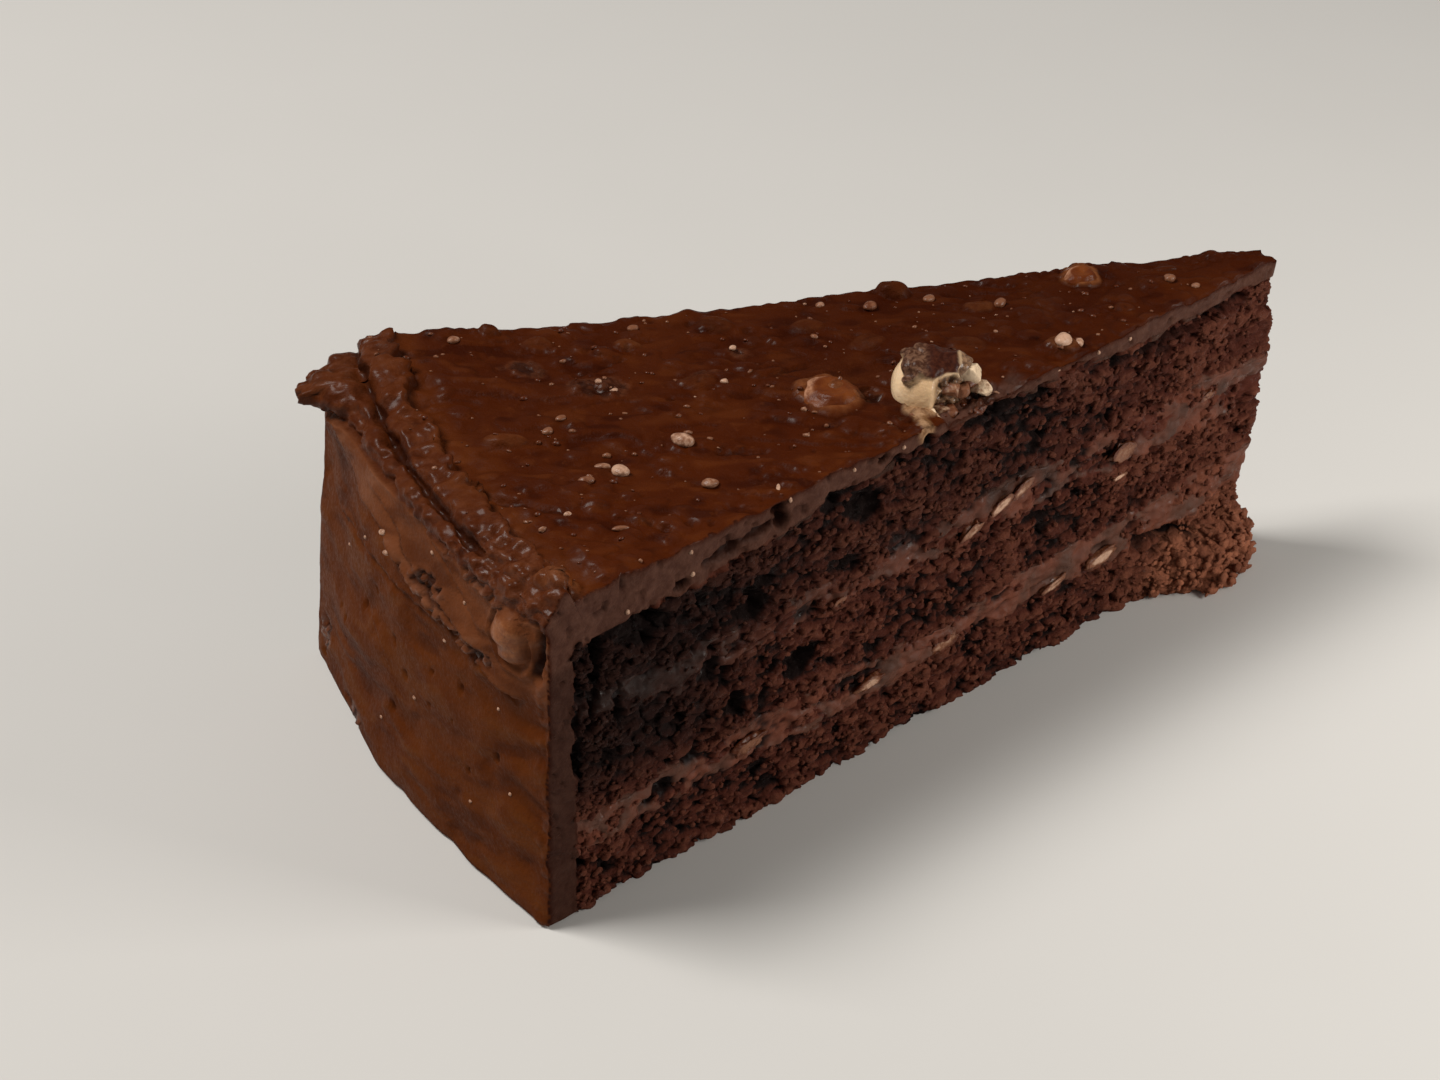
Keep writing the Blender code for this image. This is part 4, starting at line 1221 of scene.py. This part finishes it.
# Underside and inner side, hidden by the sponge, and the foot of the wall
band_end = skin_count + band_points.shape[1] - 1
for step in range(front_count - 1):
    near = skin_count + step
    far = band_end - step
    icing_faces.append([near, near + 1, far - 1, far])
last_row = (icing_skin.shape[0] - 1) * ACROSS_STEPS
icing_faces.append([last_row + place for place in range(ACROSS_STEPS)] + [band_end, skin_count])
marks_all = {}
for key, values in icing_marks.items():
    marks_all[key] = np.concatenate([values.reshape(-1), np.zeros(band_count)])
marks_all["cut"][skin_count:] = ramp(from_skin, 0.0001, 0.0012).reshape(-1)
marks_all["crumbed"] = np.concatenate([np.zeros(skin_count), 1 - torn_marks["iced"].reshape(-1)])
# Painted shade on the cut icing by the wall
wall_cut = 0.60 * ramp(band_z, 0.0500, 0.0465) * ramp(band_radius, 0.154, 0.156)
marks_all["painted_shade"][skin_count:] = np.maximum(torn_marks["deep"], wall_cut).reshape(-1)
marks_all["rough"][skin_count:] = 0.1
smeared = ramp(np.hypot(band_radius - 0.0893, 0.8 * (band_z - 0.0578)), 0.0022, 0.0008)
marks_all["smear"][skin_count:] = (smeared * (band_points[..., 1] < 0)).reshape(-1)
icing_coat = new_piece("icing_coat", icing_points, icing_faces, marks_all)
bm = bmesh.new()
bm.from_mesh(icing_coat.data)
bmesh.ops.remove_doubles(bm, verts=bm.verts, dist=1e-7)  # joins the skin to the cut sides
bm.to_mesh(icing_coat.data)
bm.free()


def add_share(tree, name, factor):
    """One of the numbers on the mesh's points, times a factor."""
    return add_math(tree, "MULTIPLY", add_mark(tree, name), factor)


def icing_material():
    """Soft chocolate icing: red-brown and a little glossy, greyer where cut, with painted shade in creases
    and hollows and painted sheen on its wall.
    """
    material, tree, surface = new_material("chocolate_icing", specular=0.04)
    patch = add_grain(tree, 0.012, 3.0, 0.55)
    grain = add_grain(tree, 0.0016, 5.0, 0.65)
    top = add_tones(tree, patch, 0.30, 0.70, (0.050, 0.0080, 0.0010), (0.064, 0.0118, 0.0018))
    streak = add_mark(tree, "streak")
    top = add_blend(tree, add_range(tree, streak, 0.60, 1.00, 0.0, 0.70), top, (0.088, 0.0190, 0.0034))
    top = add_blend(tree, add_range(tree, streak, 0.38, 0.00, 0.0, 0.70), top, (0.026, 0.0036, 0.0006))
    top = add_blend(tree, add_range(tree, grain, 0.54, 0.75, 0.0, 0.5), top, (0.100, 0.0240, 0.0055))
    # Painted shade towards the far cut and the tip
    top = add_blend(tree, add_share(tree, "far", 0.45), top, (0.024, 0.0034, 0.0005))
    # Painted light: the wall's colours are lighter and pinker than the top's, standing in for its sheen, and
    # lightest above the main fold
    lower = add_tones(tree, patch, 0.30, 0.70, (0.078, 0.0162, 0.0016), (0.101, 0.0238, 0.0034))
    upper = add_tones(tree, patch, 0.30, 0.70, (0.114, 0.0330, 0.0110), (0.150, 0.0460, 0.0165))
    wall = add_blend(tree, add_mark(tree, "upper"), lower, upper)
    # Painted sheen: the light strokes on the wall
    sheen_stroke = add_blend(tree, add_mark(tree, "upper"), (0.112, 0.0300, 0.0050), (0.190, 0.0720, 0.0350))
    wall = add_blend(tree, add_range(tree, streak, 0.58, 1.00, 0.0, 0.60), wall, sheen_stroke)
    wall = add_blend(tree, add_range(tree, streak, 0.40, 0.00, 0.0, 0.50), wall, (0.042, 0.0076, 0.0008))
    colour = add_blend(tree, add_mark(tree, "wall"), top, wall)
    nut = add_tones(tree, grain, 0.35, 0.65, (0.180, 0.0500, 0.0130), (0.300, 0.1060, 0.0360))
    colour = add_blend(tree, add_share(tree, "nutty", 0.7), colour, nut)
    cut = add_tones(tree, grain, 0.30, 0.70, (0.060, 0.0230, 0.0150), (0.092, 0.0400, 0.0270))
    cut = add_blend(tree, add_mark(tree, "crumbed"), cut, (0.082, 0.0215, 0.0120))
    colour = add_blend(tree, add_mark(tree, "cut"), colour, cut)
    # Torn patches are mottled by the grain; their paler tones also paint glints, so they are partly painted
    # highlight
    torn = add_tones(tree, grain, 0.35, 0.65, (0.062, 0.0130, 0.0030), (0.165, 0.0560, 0.0260))
    colour = add_blend(tree, add_share(tree, "rough", 0.5), colour, torn)
    oily = add_tones(tree, grain, 0.35, 0.65, (0.170, 0.0800, 0.0330), (0.380, 0.2200, 0.1200))
    colour = add_blend(tree, add_mark(tree, "smear"), colour, oily)
    # Painted shade in the creases, pits and hollows
    painted_shade = add_range(tree, add_mark(tree, "painted_shade"), 0.15, 0.95, 0.0, 0.85)
    colour = add_blend(tree, painted_shade, colour, (0.010, 0.0016, 0.0006))
    tree.links.new(colour, surface.inputs["Base Color"])
    shine = add_range(tree, add_grain(tree, 0.0007, 3.0, 0.6), 0.30, 0.70, 0.34, 0.58)
    shine = add_math(tree, "SUBTRACT", shine, add_share(tree, "rough", 0.22))
    shine = add_math(tree, "ADD", shine, add_share(tree, "wall", 0.10))
    tree.links.new(shine, surface.inputs["Roughness"])
    tree.links.new(add_share(tree, "wet", 0.36), surface.inputs["Coat Weight"])
    surface.inputs["Coat Roughness"].default_value = 0.22
    fine = add_math(tree, "MULTIPLY", add_grain(tree, 0.0005, 3.0, 0.6), 0.25)
    height = add_math(tree, "ADD", grain, fine)
    add_bump(tree, surface, height, 0.00030)
    return material


icing_coat.data.materials.append(icing_material())
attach(icing_coat, "root")
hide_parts("icing")


# Coated nuts: whole and halved hazelnuts under a thin film of icing. The largest lies on the top
# beside the bare nut, one by the near corner, and one near the far edge.

# Radius, angle in degrees, how far sunk into the icing, half sizes, turn in degrees
COATED_NUTS = (
    (0.0960, -4.1, 0.0003, (0.0045, 0.0043, 0.0030), -20),
    (0.0426, 9.2, 0.0004, (0.0028, 0.0023, 0.0020), 10),
    (0.1556, -12.0, 0.0002, (0.0026, 0.0022, 0.0018), 40),
)


def rough_ball(subdivisions, dents, size, seed):
    """The points and faces of a ball of unit size with soft dents in it."""
    points, faces = ball(subdivisions)
    shift = np.array([7.3, 1.9, 4.1]) * seed
    return points * (1 + dents * soft_noise(points + shift, (size,) * 3, seed))[:, None], faces


def turned(degrees):
    """The three axes of something turned about the upright."""
    return np.array(Matrix.Rotation(math.radians(degrees), 3, "Z"))


nuts = Handful()
for number, (radius, angle, sunk, half_sizes, degrees) in enumerate(COATED_NUTS):
    points, faces = rough_ball(5, dents=0.14, size=0.60, seed=90 + number)
    # A flat, slightly hollow face on top, as on a halved nut
    from_middle = np.hypot(points[:, 0], points[:, 1])
    hollow = 0.60 + 0.22 * ramp(from_middle, 0.10, 0.72) - 0.02 * from_middle
    points[:, 2] = np.minimum(points[:, 2], hollow)
    points *= 1 + 0.015 * soft_noise(points, (0.2,) * 3, 95)[:, None]
    # Painted highlight: a paler rim on the side of each nut that faces the light
    toward_light = points @ turned(degrees).T @ np.array([-0.55, 0.60, 0.58])
    rim = ramp(toward_light, 0.66, 0.86) * ramp(from_middle, 0.56, 0.68)
    place = np.array([*at_degrees(radius, angle), ICING_TOP - sunk])
    nuts.add((points * np.array(half_sizes)) @ turned(degrees).T + place, faces, rim=rim)
coated_nuts = nuts.piece("coated_nuts")


def coated_nut_material():
    """Nut seen through a thin film of icing: orange-brown and glossy, with a painted highlight on its rim.
    """
    material, tree, surface = new_material("icing_coated_nut", specular=0.16)
    patch = add_grain(tree, 0.0030, 3.0, 0.5)
    grain = add_grain(tree, 0.0009, 4.0, 0.6)
    film = add_tones(tree, patch, 0.32, 0.68, (0.098, 0.0190, 0.0030), (0.165, 0.0420, 0.0080))
    rim = add_math(tree, "MULTIPLY", add_mark(tree, "rim"), add_range(tree, grain, 0.30, 0.60, 0.25, 0.8))
    colour = add_blend(tree, rim, film, (0.480, 0.2400, 0.1400))
    tree.links.new(colour, surface.inputs["Base Color"])
    tree.links.new(add_range(tree, grain, 0.3, 0.7, 0.26, 0.46), surface.inputs["Roughness"])
    add_bump(tree, surface, grain, 0.00018)
    return material


coated_nuts.data.materials.append(coated_nut_material())
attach(coated_nuts, "root")


# Nut bits: chopped hazelnut stirred into the icing. The larger bits lie on the top near the rim, and
# fine grit shows as small pale glints all over it and in its cut edge.

# Radius, angle in degrees, half length, half width, turn in degrees, paleness
NUT_BITS = (
    (0.1219, -4.2, 0.0018, 0.0012, -55, 0.75), (0.1335, -5.1, 0.0015, 0.0011, -45, 0.85),
    (0.1389, -4.7, 0.0013, 0.0008, -20, 0.35), (0.1241, -9.0, 0.0013, 0.0009, -20, 0.60),
    (0.1406, -9.7, 0.0013, 0.0005, -15, 0.45), (0.1454, -7.1, 0.0006, 0.0005, 0, 0.8),
    (0.1347, -3.5, 0.0013, 0.0006, -25, 0.6), (0.1353, 2.1, 0.0008, 0.0006, 10, 0.5),
    (0.1384, 1.1, 0.0009, 0.0007, 30, 0.5), (0.0571, -10.3, 0.0017, 0.0013, 30, 1.0),
    (0.0545, -11.3, 0.0009, 0.0007, 60, 0.8), (0.0689, 9.3, 0.0011, 0.0008, 15, 0.5),
    (0.0585, 4.9, 0.0012, 0.0009, 20, 0.4), (0.0790, 9.0, 0.0012, 0.0009, 5, 0.3),
    (0.1168, -12.3, 0.0016, 0.0003, 60, 0.9), (0.1035, 6.4, 0.0006, 0.0005, 0, 0.9),
    (0.1268, 4.9, 0.0006, 0.0005, 0, 0.8), (0.1250, 3.8, 0.0006, 0.0004, 0, 0.8),
    (0.1085, 1.8, 0.0006, 0.0005, 0, 0.9), (0.1170, 11.6, 0.0009, 0.0006, 0, 0.5),
    (0.1450, 11.9, 0.0010, 0.0007, 0, 0.6), (0.0300, -2.0, 0.0010, 0.0008, 0, 0.5),
    (0.0270, -8.0, 0.0008, 0.0006, 0, 0.6), (0.0860, 11.4, 0.0008, 0.0006, 0, 0.6),
)
EDGE_GRAIN_SIZE = (0.00036, 0.0003, 0.00042)
# Grains in the icing's cut edge: distance from the wall's corner, height
EDGE_GRAINS = (
    (0.0247, 0.0570), (0.0322, 0.0547), (0.0372, 0.0550), (0.0252, 0.0530), (0.0136, 0.0517),
    (0.0434, 0.0575), (0.0560, 0.0572), (0.0660, 0.0570), (0.0990, 0.0574), (0.1080, 0.0571),
    (0.1150, 0.0568),
)
# Bright grains on the wall: distance from the front cut, height, half size
WALL_GRAINS = (
    (0.0432, 0.0468, 0.00055), (0.0398, 0.0456, 0.00045), (0.0190, 0.0486, 0.00030),
    (0.0260, 0.0372, 0.00030), (0.0115, 0.0345, 0.00028), (0.0345, 0.0215, 0.00030),
    (0.0180, 0.0128, 0.00026), (0.0520, 0.0402, 0.00030), (0.0462, 0.0100, 0.00028),
    (0.0090, 0.0205, 0.00026), (0.0610, 0.0330, 0.00026), (0.0285, 0.0520, 0.00030),
)
GRIT = 260
GRIT_ANGLE = 13.0  # degrees to either side
GRIT_RADIUS = 0.158
GRIT_SIZES = (0.00015, 0.00036)  # the smallest half width, and how much more the largest has


def skin_place(radius, degrees):
    """The nearest point of the icing's finished top to this place."""
    away = np.sum((icing_skin[:len(ALONG), :, :2] - at_degrees(radius, degrees)) ** 2, -1)
    return icing_skin[:len(ALONG)].reshape(-1, 3)[np.argmin(away)]


def cut_place(from_corner, height):
    """A place on the front cut: its column, and the point of the torn surface there."""
    column = int(np.argmin(np.abs(ring_radius[:FIRST_TIP] - (NEAR_RADIUS - from_corner))))
    points, _ = torn_surface(np.array([column]), np.array([height]))
    return column, points[0]


def add_bit(bits, place, half_sizes, degrees, pale, seed, subdivisions):
    """A rounder bit, of three subdivisions, or a rougher grain."""
    dents = 0.16 if subdivisions == 3 else 0.30
    points, faces = rough_ball(subdivisions, dents, size=0.9, seed=seed)
    bits.add((points * np.array(half_sizes)) @ turned(degrees).T + np.array(place), faces, pale=pale)


bits = Handful()
for number, (radius, degrees, length, width, turn_degrees, pale) in enumerate(NUT_BITS):
    place = skin_place(radius, degrees) + np.array([0, 0, 0.25 * width])
    add_bit(bits, place, (length, width, 0.75 * width), turn_degrees, pale, 100 + number, 3)
sprinkled = random.Random(11)
for number in range(GRIT):
    degrees = sprinkled.uniform(-GRIT_ANGLE, GRIT_ANGLE)
    radius = GRIT_RADIUS * math.sqrt(sprinkled.uniform(0.02, 1.0))
    size = GRIT_SIZES[0] + GRIT_SIZES[1] * sprinkled.random() ** 2.5
    place = skin_place(radius, degrees) + np.array([0, 0, 0.2 * size])
    pale = 0.72 * sprinkled.random() ** 1.7
    long = size * sprinkled.uniform(1.0, 2.0)
    add_bit(bits, place, (long, size, size), sprinkled.uniform(-60, 20), pale, number, 1)
for number, (from_corner, height) in enumerate(EDGE_GRAINS):
    _, place = cut_place(from_corner, height)
    add_bit(bits, place, EDGE_GRAIN_SIZE, 13, 0.85, 200 + number, 2)
wall_skin = icing_skin[len(ALONG):].reshape(-1, 3)
wall_distance = (2 * HALF_ANGLE * icing_across[None, :] * icing_radii)[len(ALONG):].reshape(-1)
for number, (from_corner, height, size) in enumerate(WALL_GRAINS):
    nearest = np.argmin(np.hypot(wall_distance - from_corner, wall_skin[:, 2] - height))
    add_bit(bits, wall_skin[nearest], (size, 1.3 * size, 0.9 * size), 0, 0.80, 240 + number, 2)
nut_bits = bits.piece("nut_bits")


def nut_bit_material(name, bare):
    """Chopped nut, from its bare colour to brown under icing, with a wet gloss."""
    material, tree, surface = new_material(name, specular=0.24)
    grain = add_grain(tree, 0.0008, 4.0, 0.6)
    pale = add_math(tree, "ADD", add_mark(tree, "pale"), add_range(tree, grain, 0.3, 0.7, -0.18, 0.12))
    brown = add_tones(tree, pale, 0.0, 0.5, (0.082, 0.0180, 0.0055), (0.200, 0.0800, 0.0400))
    colour = add_tones(tree, pale, 0.5, 1.0, brown, bare)
    tree.links.new(colour, surface.inputs["Base Color"])
    tree.links.new(add_range(tree, grain, 0.3, 0.7, 0.18, 0.40), surface.inputs["Roughness"])
    add_bump(tree, surface, grain, 0.00015)
    return material


NUT_BIT_MATERIAL = nut_bit_material("chopped_nut", (0.540, 0.3300, 0.2250))
nut_bits.data.materials.append(NUT_BIT_MATERIAL)
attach(nut_bits, "root")


# Nut slivers: cut pieces of hazelnut in the fillings, sliced through by the knife, so that they lie
# flush in the front cut and show their pale inside.

# Distance from the wall's corner, height, half length, half height, rise, paleness
SLIVERS = (
    (0.0932, 0.0375, 0.0024, 0.0008, 0.40, 0.75), (0.0884, 0.0364, 0.0029, 0.0010, 0.36, 0.90),
    (0.0824, 0.0343, 0.0026, 0.0010, 0.36, 0.70), (0.1146, 0.0141, 0.0034, 0.0013, 0.16, 0.95),
    (0.1030, 0.0138, 0.0030, 0.0009, 0.30, 0.75), (0.0780, 0.0142, 0.0032, 0.0012, 0.20, 0.65),
    (0.1171, 0.0342, 0.0029, 0.0018, 0.10, 0.55), (0.1163, 0.0297, 0.0017, 0.0005, 0.05, 1.0),
    (0.0620, 0.0141, 0.0027, 0.0010, 0.10, 0.80), (0.0372, 0.0150, 0.0030, 0.0012, 0.15, 0.35),
    (0.0540, 0.0345, 0.0016, 0.0006, 0.20, 0.40), (0.1370, 0.0372, 0.0016, 0.0008, 0.20, 0.40),
)
SLIVER_DEPTH = 0.0010
slivers = Handful()
for number, (from_corner, height, length, tall, rise, pale) in enumerate(SLIVERS):
    column, spot = cut_place(from_corner, height)
    base = np.array([*ring_plan[column], height])
    out = np.array([*ring_out[column], 0.0])
    level = max(0.0002, float((spot - base) @ out))
    points, faces = rough_ball(4, dents=0.42, size=0.55, seed=300 + number)
    spotty = soft_noise(points, (0.45,) * 3, 320 + number)
    browned = 1 - 0.75 * ramp(np.hypot(points[:, 0], points[:, 2]), 0.50, 0.98)
    shade = np.clip(pale * browned + 0.16 * spotty, 0, 1)
    points = points * np.array([length, SLIVER_DEPTH, tall])
    uneven = 0.00012 * soft_noise(points, (0.0012,) * 3, 310 + number)
    points[:, 1] = np.maximum(points[:, 1], -0.0004) + uneven
    turn = Matrix.Rotation(math.atan2(out[0], -out[1]), 3, "Z") @ Matrix.Rotation(-rise, 3, "Y")
    slivers.add(points @ np.array(turn).T + base + out * (level - 0.0002), faces, pale=shade)
nut_slivers = slivers.piece("nut_slivers")
nut_slivers.data.materials.append(NUT_BIT_MATERIAL)
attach(nut_slivers, "root")


# Hazelnut: a whole roasted nut with its skin mostly rubbed off, pressed into the icing by the front
# cut. Its end towards the tip has broken, and icing and a scrap of skin cling to its top.

NUT_CENTRE = np.array([*at_degrees(0.0806, -8.35), 0.0592])
NUT_SIZE = np.array([0.0072, 0.0052, 0.0058])
NUT_TURN = math.radians(-27)
VIEW_OVER, VIEW_UP = 0.591, 0.807  # the way its skin and its break face, along its own axes
nut_axes = np.array([
    [math.cos(NUT_TURN), -math.sin(NUT_TURN), 0],
    [math.sin(NUT_TURN), math.cos(NUT_TURN), 0],
    [0, 0, 1],
])
nut_points, nut_faces = ball(6)
local = nut_points * NUT_SIZE
toward_view = VIEW_OVER * local[:, 1] + VIEW_UP * local[:, 2]
ragged = waves(local, ((0.0009, (0.0026, 0.0022, 0.0022), 81), (0.0004, (0.0009,) * 3, 82)))
lobe = ramp(local[:, 0], 0.0005, -0.0020) * ramp(local[:, 1], 0.0010, -0.0025)
skin = ramp(toward_view + ragged, 0.0008, 0.0013) * ramp(local[:, 0] + ragged, -0.0052, -0.0046)
skin *= ramp(local[:, 0] + ragged, 0.0032, 0.0026)
# Painted highlight along the edge of the skin
skin_edge_highlight = np.clip(4 * skin * (1 - skin), 0, 1)
broken = ramp(local[:, 0] + 2 * ragged, -0.0008, -0.0002) * ramp(toward_view + ragged, 0.0010, 0.0004)
broken *= ramp(local[:, 1], 0.0015, 0.0)
lumpy = skin * ramp(local[:, 0], -0.0012, -0.0026)
local += nut_points * (skin * (0.00030 + 0.0003 * soft_noise(local, (0.0022, 0.0015, 0.0015), 83)))[:, None]
local += nut_points * (lumpy * 0.0009 * clumps(local, (0.0020, 0.0018, 0.0016), 86)[0])[:, None]
local -= nut_points * (0.0007 * skin * ramp(np.abs(local[:, 0] - 0.0012), 0.0024, 0.0006))[:, None]
local += lobe[:, None] * np.array([-0.0001, -0.0015, -0.0007])
crumbled = clumps(local, (0.0017, 0.0015, 0.0014), 84)[0]
local += nut_points * (broken * (0.0009 * (crumbled - 0.75) - 0.0006))[:, None]
bare = (1 - skin) * (1 - broken)
local += nut_points * (bare * 0.00012 * soft_noise(local, (0.0045, 0.0035, 0.0025), 85))[:, None]
# The groove is dented, and the material paints it darker as painted shade
groove = np.exp(-((local[:, 0] + 0.0007) / 0.0004) ** 2)
groove = groove * ramp(toward_view, 0.0012, 0.0) * ramp(local[:, 1], 0.001, -0.001)
local -= nut_points * (0.0005 * groove)[:, None]
local[:, 0] = np.minimum(local[:, 0], 0.0038 - 0.25 * np.abs(local[:, 1]) + 2 * ragged)
broken = np.maximum(broken, (1 - skin) * ramp(nut_points[:, 0], 0.38, 0.46))
nut_marks = {"skin": skin, "rim": skin_edge_highlight, "broken": broken, "groove": groove, "lumpy": lumpy}
hazelnut = new_piece("hazelnut_whole", local @ nut_axes.T + NUT_CENTRE, nut_faces.tolist(), nut_marks)


def nut_material():
    """Roasted nut: cream and waxy, tan and rough where it is broken, under dark skin on top, with a painted
    highlight on the skin's edge and painted shade in its groove.
    """
    material, tree, surface = new_material("hazelnut_kernel", specular=0.07, subsurface=0.08)
    surface.inputs["Subsurface Radius"].default_value = (0.0015, 0.0009, 0.0005)
    patch = add_grain(tree, 0.0045, 3.0, 0.5)
    grain = add_grain(tree, 0.0007, 4.0, 0.6)
    kernel = add_tones(tree, patch, 0.35, 0.70, (0.860, 0.6200, 0.3850), (0.700, 0.4600, 0.2550))
    inside = add_tones(tree, grain, 0.30, 0.70, (0.075, 0.0330, 0.0170), (0.300, 0.1700, 0.0950))
    colour = add_blend(tree, add_mark(tree, "broken"), kernel, inside)
    # Painted shade in the groove
    colour = add_blend(tree, add_share(tree, "groove", 0.7), colour, (0.160, 0.0800, 0.0350))
    skin = add_tones(tree, grain, 0.35, 0.70, (0.030, 0.0060, 0.0026), (0.064, 0.0160, 0.0070))
    lump = add_tones(tree, grain, 0.40, 0.65, (0.056, 0.0200, 0.0100), (0.170, 0.0850, 0.0500))
    skin = add_blend(tree, add_mark(tree, "lumpy"), skin, lump)
    colour = add_blend(tree, add_mark(tree, "skin"), colour, skin)
    # Painted highlight along the skin's edge
    colour = add_blend(tree, add_share(tree, "rim", 0.45), colour, (0.420, 0.2800, 0.1700))
    tree.links.new(colour, surface.inputs["Base Color"])
    shine = add_range(tree, grain, 0.3, 0.7, 0.16, 0.30)
    shine = add_math(tree, "ADD", shine, add_share(tree, "skin", 0.35))
    tree.links.new(shine, surface.inputs["Roughness"])
    waxy = add_range(tree, add_mark(tree, "skin"), 0.0, 0.8, 0.55, 0.10)
    tree.links.new(waxy, surface.inputs["Coat Weight"])
    surface.inputs["Coat Roughness"].default_value = 0.16
    add_bump(tree, surface, grain, 0.00018)
    return material


hazelnut.data.materials.append(nut_material())
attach(hazelnut, "root")
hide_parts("hazelnut")


# Broken hazelnut: the pieces at the nut's broken end, towards the tip. One is a clean cream chip, the
# others are rough and smeared with icing, and all are stuck to the nut and the icing.

# Place from the nut's middle along its own axes, half sizes, turn in degrees, paleness
CHIPS = (
    ((0.0049, -0.0010, 0.0026), (0.0022, 0.0013, 0.0025), 15, 1.0),
    ((0.0066, -0.0012, -0.0001), (0.0018, 0.0014, 0.0015), -20, 0.80),
    ((0.0016, -0.0036, 0.0010), (0.0019, 0.0015, 0.0014), 25, 0.55),
    ((0.0034, -0.0030, 0.0008), (0.0016, 0.0014, 0.0013), 60, 0.45),
    ((0.0044, -0.0036, -0.0022), (0.0017, 0.0014, 0.0012), 10, 0.15),
    ((0.0046, -0.0012, 0.0006), (0.0016, 0.0012, 0.0013), 40, 0.30),
    ((0.0018, -0.0046, -0.0020), (0.0019, 0.0014, 0.0012), 80, 0.25),
    ((0.0002, -0.0052, -0.0014), (0.0015, 0.0011, 0.0010), -10, 0.60),
    ((0.0060, -0.0034, -0.0026), (0.0019, 0.0014, 0.0011), 30, 0.15),
    ((-0.0018, -0.0062, -0.0012), (0.0016, 0.0010, 0.0009), -50, 0.80),
    ((-0.0006, -0.0070, -0.0016), (0.0013, 0.0010, 0.0008), 20, 0.70),
)
CHIP_BLOWS = 9


def split_chip(seed):
    """A ball of unit size with random flat faces, as a nut splits."""
    points, faces = rough_ball(4, dents=0.10, size=0.9, seed=seed)
    blows = random.Random(seed)
    for _ in range(CHIP_BLOWS):
        way = Vector([blows.gauss(0, 1) for _ in range(3)]).normalized()
        over = points @ np.array(way) - blows.uniform(0.45, 0.80)
        points = points - np.clip(over, 0, 1)[:, None] * np.array(way)
    return points * (1 + 0.03 * soft_noise(points, (0.3,) * 3, seed))[:, None], faces


chips = Handful()
for number, (place, half_sizes, degrees, pale) in enumerate(CHIPS):
    points, faces = split_chip(330 + number)
    spot = NUT_CENTRE + nut_axes @ np.array(place)
    chips.add((points * np.array(half_sizes)) @ turned(degrees).T @ nut_axes.T + spot, faces, pale=pale)
nut_chips = chips.piece("hazelnut_chips")
nut_chips.data.materials.append(nut_bit_material("split_nut", (0.820, 0.6200, 0.4200)))
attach(nut_chips, "root")


# The room: a plain pale floor, one soft light from behind on the left, a weaker one in front, and the
# camera where the picture was taken from.

FLOOR_REACH = 3
floor_mesh = bpy.data.meshes.new("floor")
floor_corners = [(FLOOR_REACH * x, FLOOR_REACH * y, 0) for x, y in ((-1, -1), (1, -1), (1, 1), (-1, 1))]
floor_mesh.from_pydata(floor_corners, [], [(0, 1, 2, 3)])
floor = bpy.data.objects.new("floor", floor_mesh)
bpy.context.scene.collection.objects.link(floor)
floor_material, floor_tree, floor_surface = new_material("pale_floor", specular=0.2)
floor_patch = add_grain(floor_tree, 0.05, 2.0)
floor_colour = add_blend(floor_tree, floor_patch, (0.62, 0.61, 0.59), (0.64, 0.63, 0.61))
floor_tree.links.new(floor_colour, floor_surface.inputs["Base Color"])
floor_surface.inputs["Roughness"].default_value = 0.9
floor_mesh.materials.append(floor_material)


def soft_light(name, place, size, power, colour):
    """A square studio light that looks at the slice."""
    light = bpy.data.lights.new(name, "AREA")
    light.size = size
    light.energy = power
    light.color = colour
    lamp = bpy.data.objects.new(name, light)
    lamp.location = place
    lamp.rotation_euler = (Vector((0, 0, 0.03)) - Vector(place)).to_track_quat("-Z", "Y").to_euler()
    bpy.context.scene.collection.objects.link(lamp)


soft_light("key_light", (-0.54, 0.28, 1.00), size=0.42, power=11.9, colour=(1.0, 0.965, 0.92))
soft_light("fill_light", (0.30, -0.27, 0.20), size=0.20, power=1.15, colour=(1.0, 0.96, 0.90))

world = bpy.data.worlds.new("studio")
world.use_nodes = True
world.node_tree.nodes["Background"].inputs["Color"].default_value = (1.0, 0.97, 0.93, 1.0)
world.node_tree.nodes["Background"].inputs["Strength"].default_value = 0.14
bpy.context.scene.world = world
bpy.context.scene.view_settings.view_transform = "Standard"

LENS = 67.68
SENSOR_WIDTH = 36.0
CAMERA_PLACE = (-0.1822, -0.3046, 0.2826)
camera_data = bpy.data.cameras.new("camera")
camera_data.lens = LENS
camera_data.sensor_width = SENSOR_WIDTH
camera = bpy.data.objects.new("camera", camera_data)
azimuth = math.radians(-27.64)
elevation = math.radians(36.21)
roll = math.radians(1.224)
turn = Matrix.Rotation(azimuth, 4, "Z") @ Matrix.Rotation(math.pi / 2 - elevation, 4, "X")
camera.matrix_world = Matrix.Translation(CAMERA_PLACE) @ turn @ Matrix.Rotation(roll, 4, "Z")
bpy.context.scene.collection.objects.link(camera)
bpy.context.scene.camera = camera
